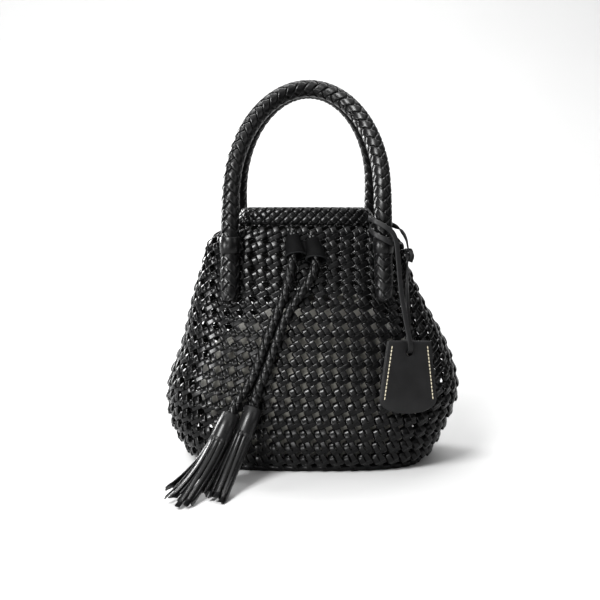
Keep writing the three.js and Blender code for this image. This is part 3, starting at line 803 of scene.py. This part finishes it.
# Pale studio floor with a faint unevenness.
def studio(name, tones):
    shader = Shader(name)
    shader.link(shader.tone(FLOOR_SCALE, tones), shader.main.inputs["Base Color"])
    shader.main.inputs["Roughness"].default_value = 0.9
    shader.main.inputs["Specular IOR Level"].default_value = 0.1
    return shader.material


WOVEN = leather("woven_leather", BLACK_TONES, 0.22, edge=LACE_EDGE, gloss=0.15)
BRAIDED = leather("braided_leather", BLACK_TONES, 0.29, edge=LACE_EDGE, gloss=0.17)
MATTE = leather("matte_leather", MATTE_TONES, 0.44, pore=1900.0)
FRINGE = leather("fringe_leather", FRINGE_TONES, 0.28, pore=1900.0)
# Slider leather: a rough, low-gloss copy of the matte leather; its darker tone is painted shade.
SHADED_MATTE = leather("matte_leather_painted_shade", SHADED_MATTE_TONES, 0.7, pore=1900.0, gloss=0.02)
CUT_EDGE = leather("cut_edge", CUT_TONES, 0.7, pore=2400.0, gloss=0.03)
CLOTH = cloth("pouch_cloth", CLOTH_TONES)
THREAD = thread("cream_thread", THREAD_TONES)


# Camera: it looks level, and its frame is shifted so that the horizon lies where the photograph has it.
def make_camera():
    data = bpy.data.cameras.new("camera")
    data.sensor_width = SENSOR_MM
    data.lens = SENSOR_MM * FOCAL_PX / FRAME_PX
    camera = bpy.data.objects.new("camera", data)
    camera.location = CAMERA_PLACE
    data.shift_y = HORIZON_PX / FRAME_PX - 0.5
    camera.rotation_euler = (math.pi / 2, 0, 0)
    bpy.context.scene.collection.objects.link(camera)
    bpy.context.scene.camera = camera


# Tassel: a hollow wound head, and layers of strips that run on from it.
def tassel(name, row):
    top, aim, tips, sideways, forward = np.array(row, float)
    aim = unit(aim)
    narrow, wide = TASSEL_HEAD_RADII
    length = TASSEL_HEAD_LENGTH
    sheaf = Sheaf()
    head = [
        (0.3, narrow - 1.25), (0.0, narrow - 0.95), (0.0, narrow - 0.35), (0.4, narrow),
        (length * 0.5, narrow + 0.2), (length - 2.0, wide), (length, wide - 0.3),
        (length - 0.2, wide - 1.2), (length * 0.6, 5.4), (4.5, narrow - 1.9), (2.5, narrow - 1.5),
    ]
    turned(sheaf, top, aim, head)
    side = unit(sideways - aim * sideways.dot(aim))
    depth = unit(forward - aim * forward.dot(aim) - side * forward.dot(side))
    foot = top + aim * length
    section = lace_section(TASSEL_STRIP_HALF, TASSEL_STRIP_THICK, crown=0.02, shoulder=0.95)
    t = np.linspace(0, 1, TASSEL_STRIP_STEPS + 1)[:, None]
    for count, radius, share in TASSEL_LAYERS:
        for i in range(count):
            angle = 2 * math.pi * (i + RNG.uniform(-STRIP_PLACE, STRIP_PLACE)) / count
            out = side * math.cos(angle) + depth * math.sin(angle)
            root = foot - aim * TASSEL_ROOT_DEPTH + out * radius
            reach = sideways * math.cos(angle) + forward * math.sin(angle)
            tip = tips + reach * share * RNG.uniform(*STRIP_REACH)
            tip += aim * RNG.uniform(*STRIP_CUT)
            bend = root + aim * np.linalg.norm(root - tip) * TASSEL_BEND
            points = root * (1 - t) ** 2 + 2 * bend * t * (1 - t) + tip * t**2
            points += t**2 * RNG.normal(0, STRIP_CURL, 3) * np.sin(t * math.pi * 1.5)
            points[:, 2] = np.maximum(points[:, 2], TASSEL_FLOOR)
            round_way = unit(np.cross(aim, out))
            strip(sheaf, points, round_way + t * RNG.normal(0, STRIP_TWIST, 3), section)
    return dress(sheaf.piece(f"{name}_fringe", FRINGE), "matte_leather", name)


# Drawstring: a round braid that ends in its tassel.
def drawstring(hand, route):
    points = smooth_route(route, ROUTE_SPACING)
    path = Path(points, first_normal=(0, -1, 0))
    sheaf = Sheaf()
    outline = round_outline(CORD_RADIUS + CORD_SWELL, CORD_LACE)
    braid(sheaf, path, outline, CORD_STRANDS, 1, CORD_PITCH, CORD_LACE, half=0.49, ease=0.42, crown=0.14)
    name = f"drawstring_{hand}"
    cord = dress(sheaf.piece(f"{name}_braid", BRAIDED), "braided_leather", name)
    tuft = tassel(f"tassel_{hand}", TASSELS[hand])


def tunnel_radius(t):
    narrow, wide = SLIDER_RADII
    return narrow + (wide - narrow) * t**SLIDER_FLARE


# Middle of a tunnel of the slider at a share of its way down.
def tunnel_middle(tunnel, t):
    top, bottom, _ = tunnel
    return np.array(top) + (np.array(bottom) - np.array(top)) * t


# Loop round a tunnel, so far inside its outer face and so far beyond its place along the tunnel.
def tunnel_loop(tunnel, t, inset, beyond):
    top, bottom, slope = tunnel
    axis = unit(np.array(bottom) - np.array(top))
    side = unit(np.array([1, 0, 0]) - axis * axis[0])
    angle = np.linspace(0, 2 * math.pi, SLIDER_SIDES, endpoint=False)
    circle = np.cos(angle)[:, None] * side + np.sin(angle)[:, None] * np.cross(axis, side)
    radius = tunnel_radius(t) - inset
    hang = np.cos(angle)[:, None] * radius * slope * t
    return tunnel_middle(tunnel, t) + circle * radius + axis * (hang + beyond)


# Slider: two flaring tunnels joined by a web, with bare cut edges.
def slider():
    sheaf = Sheaf()
    wall = SLIDER_LEATHER
    flare = np.linspace(0, 1, SLIDER_STEPS + 1)
    lip = [*SLIDER_LIP, *((wall - inset, beyond) for inset, beyond in SLIDER_LIP[::-1])]
    for tunnel in SLIDER_TUNNELS:
        outside = [tunnel_loop(tunnel, t, 0, 0) for t in flare]
        inside = [tunnel_loop(tunnel, t, wall, 0) for t in flare[::-1]]
        sheaf.tube(np.array(outside + inside), closed=True)
        for t, way in ((0, -1), (1, 1)):
            rows = [tunnel_loop(tunnel, t, inset, way * beyond) for inset, beyond in lip]
            sheaf.tube(np.array(rows), closed=True, finish=1)
    web = []
    arc = np.linspace(-1, 1, WEB_POINTS)[:, None]
    down = tunnel_middle(SLIDER_TUNNELS[0], 1) - tunnel_middle(SLIDER_TUNNELS[0], 0)
    for t in flare[1:]:
        left, right = (tunnel_middle(tunnel, t) for tunnel in SLIDER_TUNNELS)
        radius = tunnel_radius(t)
        reach = (right - left) / 2
        half = 1 - radius * WEB_START / np.linalg.norm(reach)
        front = unit(np.cross(down, reach))
        forward = radius * WEB_FORWARD * t + arc**2 * WEB_RISE
        outer = (left + right) / 2 + arc * half * reach + front * forward
        web.append(np.concatenate([outer, outer[::-1] - front * wall]))
    sheaf.tube(np.array(web))
    # The tunnels take the darker copy of the matte leather, whose darker tone is painted shade.
    dress(sheaf.piece("slider_tunnels", SHADED_MATTE, CUT_EDGE), "matte_leather", "cord_slider")


# Sections along a chain of passes, square to its run and height.
def chain_sections(chain, run_axis, section):
    run = chain[:, run_axis] * SQUARE_MM
    slope_run = np.gradient(run)
    slope_out = np.gradient(chain[:, 2])
    size = np.maximum(np.hypot(slope_run, slope_out), 1e-9)
    rows = np.repeat(chain[:, None], len(section), axis=1)
    rows[:, :, 1 - run_axis] += section[None, :, 0]
    rows[:, :, run_axis] += (-slope_out / size)[:, None] * section[None, :, 1] / SQUARE_MM
    rows[:, :, 2] += (slope_run / size)[:, None] * section[None, :, 1]
    return rows


def on_wall(skin, rows, column):
    col = column + rows[..., 0] * SQUARE_ACROSS[0] + rows[..., 1] * SQUARE_DOWN[0] + WEAVE_SHIFT
    row = rows[..., 0] * SQUARE_ACROSS[1] + rows[..., 1] * SQUARE_DOWN[1]
    return skin.at(col, row, rows[..., 2])


# Small unevenness of each pass, faded out at its ends.
def wobble(passes, rows):
    fade = np.sin(np.linspace(0, math.pi, rows)) ** 0.5
    return RNG.normal(0, 1, (passes, 1, 3)) * WEAVE_UNEVEN * fade[None, :, None]


# Upright strands: chains of passes down the wall, from gap to gap, sorted by face.
def upright_strands(skin):
    section = lace_section(STRAND_HALF, STRAND_THICK)
    laps = np.arange(WEAVE_FIRST_ROW, WEAVE_LAST_ROW + 1)
    shift = np.outer(laps, (*UPRIGHT_STEP, 0))
    lean = np.zeros((len(laps), len(UPRIGHT_PASS), 3))
    lean_share = np.interp(UPRIGHT_PASS[:LEAN_POINTS, 1], LEAN_DOWN, LEAN_SHARE)
    lean[:, :LEAN_POINTS, 2] = np.outer(np.interp(laps, LEAN_ROWS, LEAN_MM), lean_share)
    faces = [Sheaf() for _ in WEAVE_FACES]
    for column in range(WEAVE_COLUMNS):
        chain = UPRIGHT_PASS + lean + shift[:, None] + wobble(len(laps), len(UPRIGHT_PASS))
        rows = chain_sections(chain.reshape(-1, 3), 1, section)
        face = round(4 * column / WEAVE_COLUMNS) % 4
        faces[face].tube(on_wall(skin, rows, column))
    return faces


# Level strands: chains of passes round the wall, sorted into the upper and the lower ones.
def level_strands(skin):
    section = lace_section(LEVEL_HALF, STRAND_THICK, crown=0.02, shoulder=0.96)
    along = np.outer(np.arange(WEAVE_COLUMNS), (*LEVEL_STEP, 0))
    upper = Sheaf()
    lower = Sheaf()
    for lap in range(WEAVE_FIRST_ROW, WEAVE_LAST_ROW + 1):
        shift = along + lap * np.array([*UPRIGHT_STEP, 0])
        chain = LEVEL_PASS + shift[:, None] + wobble(WEAVE_COLUMNS, len(LEVEL_PASS))
        rows = chain_sections(chain.reshape(-1, 3), 0, section)
        sheaf = upper if lap < (WEAVE_FIRST_ROW + WEAVE_LAST_ROW) / 2 else lower
        sheaf.tube(on_wall(skin, rows, 0), closed=True)
    return upper, lower


# Woven body: the strands laid on the wall, and the base.
def woven_body():
    heights = np.arange(WEAVE_TOP_Z, BASE_TURN[0][0], -SKIN_STEP)
    rings = [ring(BODY_SECTIONS, z, WEAVE_INSET, SKIN_SAMPLES) for z in heights]
    rings += [ring(BODY_SECTIONS, z, inset, SKIN_SAMPLES, level) for z, inset, level in BASE_TURN]
    skin = Skin(rings)
    uprights = upright_strands(skin)
    upper, lower = level_strands(skin)
    base = Sheaf()
    edge_strand(base)
    base_weave(base)
    for face, sheaf in zip(WEAVE_FACES, uprights):
        solids = ("woven_body",) if face == "front" else ()
        dress(sheaf.piece(f"weave_{face}", WOVEN), "woven_leather", *solids)
    dress(upper.piece("weave_level_upper", WOVEN), "woven_leather")
    dress(lower.piece("weave_level_lower", WOVEN), "woven_leather")
    dress(base.piece("weave_base", WOVEN), "woven_leather")


# Strand that closes the weave along the floor, swelling once in each column.
def edge_strand(sheaf):
    columns = WEAVE_COLUMNS * EDGE_STEPS
    points = ring(BODY_SECTIONS, EDGE_Z, EDGE_INSET, columns)
    out = unit(np.cross(past_neighbours(points), (0, 0, 1)))
    swell = EDGE_SWELL * np.cos(2 * math.pi * np.arange(columns) / EDGE_STEPS)
    section = lace_section(EDGE_HALF, STRAND_THICK, crown=0.3)
    up = np.array([0, 0, 1])
    reach = swell[:, None, None] + section[None, :, 1:]
    sheaf.tube(points[:, None] + out[:, None] * reach - up * section[None, :, :1], closed=True)


# Plain weave of the base, inside the edge strand.
def base_weave(sheaf):
    half_width = section_value(BODY_SECTIONS, "half_width", 0) - BASE_INSET
    half_depth = section_value(BODY_SECTIONS, "half_depth", 0) - BASE_INSET
    power = section_value(BODY_SECTIONS, "squareness", 0)
    section = lace_section(BASE_STRAND / 2, STRAND_THICK)
    for axis, reach, across in ((0, half_width, half_depth), (1, half_depth, half_width)):
        count = int(across / BASE_PITCH)
        for k in range(-count, count + 1):
            offset = k * BASE_PITCH
            half = reach * (1 - abs(offset / across) ** power) ** (1 / power)
            if half < BASE_PITCH:
                continue
            along = np.arange(-half, half, BASE_PITCH / 4)
            way = 1 if axis == 0 else -1
            rise = BASE_WAVE * way * np.cos(math.pi * (along / BASE_PITCH + k))
            points = np.zeros((len(along), 3))
            points[:, axis] = along
            points[:, 1 - axis] = offset
            points[:, 2] = BASE_LEVEL + rise
            strip(sheaf, points, np.eye(3)[1 - axis], section)


# Rim: the flat braid follows the top of the wall and leans with it.
def rim():
    columns = SKIN_SAMPLES
    inset = (RIM_DEEP - RIM_PROUD) / 2
    low = ring(BODY_SECTIONS, RIM_LOW, inset, columns)
    high = ring(BODY_SECTIONS, RIM_TOP, inset, columns)
    points = (low + high) / 2
    up = unit(high - low)
    loop = np.concatenate([points, points[:1]])
    out = unit(np.cross(unit(past_neighbours(points)), up))
    path = Path(loop, normals=np.concatenate([out, out[:1]]), closed=True)
    laps = round(path.length / RIM_PITCH)
    outline = band_outline((RIM_DEEP + RIM_PROUD) / 2, (RIM_TOP - RIM_LOW) / 2, RIM_LACE)
    sheaf = Sheaf()
    braid(sheaf, path, outline, RIM_STRANDS, 1, path.length / laps, RIM_LACE)
    dress(sheaf.piece("rim_plait", WOVEN), "woven_leather", "rim_braid")


# Handles and their collars
def handle_route(side):
    def leg(x):
        seat = [(z, max(wall_depth(x, z) + HANDLE_SEAT_OUT, HANDLE_LEG_Y)) for z in HANDLE_SEAT_Z]
        return [(x, side * y, z) for z, y in (*seat, *HANDLE_LEAN_IN)]

    arch = []
    for angle in np.linspace(math.pi, 0, HANDLE_ARCH_POINTS):
        lift = math.sin(angle)
        y = HANDLE_ARCH_Y + (HANDLE_TOP_Y - HANDLE_ARCH_Y) * max(lift, 0) ** HANDLE_LEAN_EASE
        x = HANDLE_CENTRE_X + HANDLE_HALF_SPAN * math.cos(angle) + HANDLE_TOP_SHIFT * lift
        arch.append((x, side * y, HANDLE_ARCH_BASE + HANDLE_ARCH_RISE * lift))
    left = leg(HANDLE_CENTRE_X - HANDLE_HALF_SPAN)
    right = leg(HANDLE_CENTRE_X + HANDLE_HALF_SPAN)[::-1]
    return left + arch + right


def handle(face, side):
    path = Path(smooth_route(handle_route(side), ROUTE_SPACING), first_normal=(0, side, 0))
    sheaf = Sheaf()
    outline = round_outline(HANDLE_RADIUS, HANDLE_LACE, path.length, HANDLE_TAPER, HANDLE_END_SHARE)
    braid(sheaf, path, outline, HANDLE_STRANDS, 2, HANDLE_PITCH, HANDLE_LACE, HANDLE_PHASE)
    dress(sheaf.piece(f"handle_{face}_braid", BRAIDED), "braided_leather", f"handle_{face}")
    collars(face, side)


def collars(face, side):
    low, high = COLLAR_Z
    length = high - low
    inside = COLLAR_INSIDE
    outside = inside + COLLAR_LEATHER
    edge = COLLAR_EDGE
    profile = [
        (0, inside), (0, outside - edge), (edge, outside), (length * 0.5, outside + COLLAR_SWELL),
        (length - edge, outside), (length, outside - edge), (length, inside),
    ]
    for hand, way in (("left", -1), ("right", 1)):
        collar = Sheaf()
        start = (HANDLE_CENTRE_X + way * HANDLE_HALF_SPAN, side * HANDLE_LEG_Y, low)
        turned(collar, start, (0, 0, 1), profile, COLLAR_SIDES)
        name = f"handle_wrap_{face}_{hand}"
        dress(collar.piece(f"{name}_collar", BRAIDED), "matte_leather", name)


# Points of the tag in their place, from points that hang flat below the middle of its top edge.
def tag_turn(points):
    for axis, degrees in zip("XYZ", TAG_TURNS_DEG):
        points = points @ np.array(Matrix.Rotation(math.radians(degrees), 3, axis)).T
    return points + np.array(TAG_PLACE)


# How far the tag bows back at a place across it.
def tag_bow(x):
    return TAG_BOW * (x / TAG_BOTTOM * 2) ** 2


def tag_outline():
    half_top = TAG_TOP / 2
    half_bottom = TAG_BOTTOM / 2
    low = -TAG_HEIGHT
    bend = [(half_bottom, TAG_ROUND + low), (half_bottom, low * 0.94), (half_bottom / 2, low), (0, low)]
    a, b, c, d = np.array(bend, float)
    t = np.linspace(0, 1, 25)[1:, None]
    curve = a * (1 - t) ** 3 + 3 * b * t * (1 - t) ** 2 + 3 * c * t**2 * (1 - t) + d * t**3
    corner = [(half_top - 1.5, 0), (half_top - 0.4, -0.4), (half_top + 0.15, -1.6)]
    right = [(0, 0), *corner, tuple(a), *map(tuple, curve)]
    left = [(-x, z) for x, z in right[-2:0:-1]]
    corners = np.array([*right, *left, right[0]])
    run = run_along(corners)
    wanted = np.linspace(0, run[-1], TAG_POINTS + 1)[:-1]
    return np.stack([np.interp(wanted, run, corners[:, i]) for i in range(2)], axis=1)


# One layer of the tag, in loops from its hole over the front to its rim, and back behind.
# Each loop has its millimetres past a share of the way out, that share, and its height.
def plate(sheaf, outline, middle, grow):
    hole_radius, drop = TAG_HOLE
    centre = np.array([0, -drop])
    rays = outline - centre
    reach = np.linalg.norm(rays, axis=1, keepdims=True)
    ways = rays / reach
    half = TAG_LAYER / 2
    edge = TAG_EDGE
    loop = [
        (0, 0, half - edge), (0.3 * edge, 0, half - 0.3 * edge), (edge, 0, half), (0, 0.4, half),
        (0, 0.75, half), (-edge, 1, half), (-0.3 * edge, 1, half - 0.3 * edge), (0, 1, half - edge),
    ]
    loop += [(plus, share, -height) for plus, share, height in loop[::-1]]
    rows = []
    for plus, share, height in loop:
        flat = centre + ways * (hole_radius + plus + (reach + grow - hole_radius) * share)
        back = middle - height + tag_bow(flat[:, 0])
        rows.append(tag_turn(np.stack([flat[:, 0], back, flat[:, 1]], axis=1)))
    sheaf.tube(np.array(rows), closed=True)


# Tag: two tapered plates with a round lower edge and a lace hole.
def tag():
    outline = tag_outline()
    middle = (TAG_LAYER + TAG_LAYER_GAP) / 2
    sheaf = Sheaf()
    plate(sheaf, outline, -middle, 0.0)
    plate(sheaf, outline, middle, TAG_BACK_GROW)
    return dress(sheaf.piece("tag_leather", MATTE), "matte_leather", "hang_tag")


# Stitches down both sides of the tag.
def stitches():
    seam = Sheaf()
    section = lace_section(STITCH_THICK / 2, STITCH_THICK * 0.9, crown=0.25)
    arc = np.sin(np.linspace(0, math.pi, STITCH_POINTS)) * STITCH_ARC
    face = -TAG_LAYER - TAG_LAYER_GAP / 2
    shoulder = TAG_ROUND - TAG_HEIGHT
    for way in (-1, 1):
        top = np.array([way * (TAG_TOP / 2 - STITCH_INSET), -STITCH_BELOW_TOP])
        bottom = np.array([way * (TAG_BOTTOM / 2 - STITCH_INSET), shoulder - STITCH_BELOW_SHOULDER])
        for k in range(STITCHES):
            t = np.linspace(*(k + STITCH_SHARE), STITCH_POINTS)[:, None] / STITCHES
            flat = top * (1 - t) + bottom * t
            back = face + tag_bow(flat[:, 0]) - arc + STITCH_SINK
            points = np.stack([flat[:, 0], back, flat[:, 1]], axis=1)
            strip(seam, tag_turn(points), tag_turn(points + (1, 0, 0)) - tag_turn(points), section)
    return dress(seam.piece("tag_stitches", THREAD), "pouch_cloth")


# Knot of the tag lace: a closed overhand turn with two cut ends.
def knot():
    centre = np.array(KNOT_CENTRE)
    t = np.linspace(0, 2 * math.pi, KNOT_POINTS, endpoint=False)
    x = (np.sin(t) + 2 * np.sin(2 * t)) / 3
    y = -np.sin(3 * t) / 3 * KNOT_DEEP
    z = (np.cos(t) - 2 * np.cos(2 * t)) / 3
    points = centre + np.stack([x, y, z], axis=1) * KNOT_SIZE
    tangents = unit(past_neighbours(points))
    across = unit(np.cross(tangents, unit(points - centre)))
    section = lace_section(*KNOT_LACE, crown=0.25)
    sheaf = Sheaf()
    sheaf.tube(set_sections(points, across, np.cross(across, tangents), section), closed=True)
    section = lace_section(KNOT_TAIL_HALF, LACE_THICK, crown=0.12)
    for route in KNOT_TAILS:
        tail = smooth_route(centre + np.array(route), KNOT_TAIL_SPACING)
        strip(sheaf, tail, np.array(KNOT_TAIL_SIDE), section)
    return dress(sheaf.piece("knot_turns", MATTE), "matte_leather", "lace_knot")


# Lace that hangs the tag.
def tag_lace():
    route = smooth_route(LACE_ROUTE, LACE_SPACING)
    points = route[:, :3]
    compass = np.radians(route[:, 3])
    tilt = np.radians(route[:, 4])
    level = np.cos(tilt)
    facing = np.stack([np.sin(compass) * level, -np.cos(compass) * level, np.sin(tilt)], axis=1)
    sheaf = Sheaf()
    sides = np.cross(facing, unit(np.gradient(points, axis=0)))
    strip(sheaf, points, sides, lace_section(LACE_WIDTH / 2, LACE_THICK))
    lace = dress(sheaf.piece("lace_ribbon", MATTE), "matte_leather", "tag_lace")
    hung = [tag(), stitches()]
    knot()


# Cloth pouch: soft wrinkles, and folds that deepen towards the gathered mouth.
def pouch():
    low = POUCH_SECTIONS[0, 0]
    high = POUCH_SECTIONS[-1, 0]
    turn = np.linspace(0, 2 * math.pi, POUCH_COLUMNS, endpoint=False)
    rows = []
    for z in np.linspace(low, high, POUCH_LEVELS):
        lift = (z - low) / (high - low)
        points = ring(POUCH_SECTIONS, z, (0, -POUCH_SWELL * math.sin(math.pi * lift)), POUCH_COLUMNS)
        gather = max(lift - POUCH_GATHER_FROM, 0) / (1 - POUCH_GATHER_FROM)
        folds = 1 + np.cos(POUCH_FOLDS * turn + 3 * np.sin(2 * turn) + 2.2 * lift)
        slack = 1 + np.cos(5 * turn + 4 * lift) * np.sin(3 * turn - 7 * lift + 1)
        fold_deep = POUCH_FOLD_DEEP + POUCH_GATHER_DEEP * gather
        inward = POUCH_EASE + slack * POUCH_SLACK_DEEP + folds * fold_deep
        middle = np.array([section_value(POUCH_SECTIONS, "lean", z), 0, z])
        ways = unit(points - middle)
        rows.append(points - ways * inward[:, None] * min(lift / POUCH_WRINKLED_BY, 1))
    count = len(rows)
    cols = POUCH_COLUMNS
    bottom = cols // 2 - 1
    quads = tube_quads(count, cols, False)[: (count - 1) * cols + bottom]
    vertices = np.concatenate(rows)
    sheaf = Sheaf()
    sheaf.add(vertices, quads, vertices[:, :2] * MM)
    piece = dress(sheaf.piece("pouch_sheet", CLOTH), "pouch_cloth", "inner_pouch")
    thick = piece.modifiers.new("cloth", "SOLIDIFY")
    thick.thickness = POUCH_CLOTH * MM
    thick.offset = -1


# Floor that sweeps up behind
def floor():
    bend = FLOOR_BACK - FLOOR_SWEEP
    profile = [(FLOOR_FRONT, 0.0), (bend, 0.0)]
    for angle in np.linspace(0, math.pi / 2, FLOOR_SWEEP_STEPS + 1)[1:]:
        profile.append((bend + FLOOR_SWEEP * math.sin(angle), FLOOR_SWEEP * (1 - math.cos(angle))))
    profile.append((FLOOR_BACK, FLOOR_TOP))
    vertices = [(x, y, z) for y, z in profile for x in (-FLOOR_HALF_WIDTH, FLOOR_HALF_WIDTH)]
    faces = [(2 * i, 2 * i + 1, 2 * i + 3, 2 * i + 2) for i in range(len(profile) - 1)]
    mesh = bpy.data.meshes.new("floor")
    mesh.from_pydata(vertices, [], faces)
    mesh.polygons.foreach_set("use_smooth", [True] * len(faces))
    mesh.materials.append(studio("studio_floor", FLOOR_TONES))
    obj = bpy.data.objects.new("floor", mesh)
    bpy.context.scene.collection.objects.link(obj)


def area_light(name, place_at, aim, size, power):
    data = bpy.data.lights.new(name, "AREA")
    data.shape = "RECTANGLE"
    data.size, data.size_y = size
    data.energy = power
    lamp = bpy.data.objects.new(name, data)
    lamp.location = place_at
    way = Vector(aim) - Vector(place_at)
    lamp.rotation_euler = way.to_track_quat("-Z", "Y").to_euler()
    bpy.context.scene.collection.objects.link(lamp)


# Soft studio light: area lamps round the bag, and a dim room.
def lights():
    world = bpy.data.worlds.new("room")
    world.use_nodes = True
    room = world.node_tree.nodes["Background"].inputs
    room["Color"].default_value = (1, 1, 1, 1)
    room["Strength"].default_value = ROOM_STRENGTH
    bpy.context.scene.world = world
    for name, lamp in LAMPS.items():
        area_light(name, *lamp)


make_camera()
drawstring("left", DRAWSTRING_LEFT)
drawstring("right", DRAWSTRING_RIGHT)
slider()
woven_body()
rim()
handle("front", -1)
handle("back", 1)
tag_lace()
pouch()
floor()
lights()
bpy.context.scene.view_settings.view_transform = "Standard"
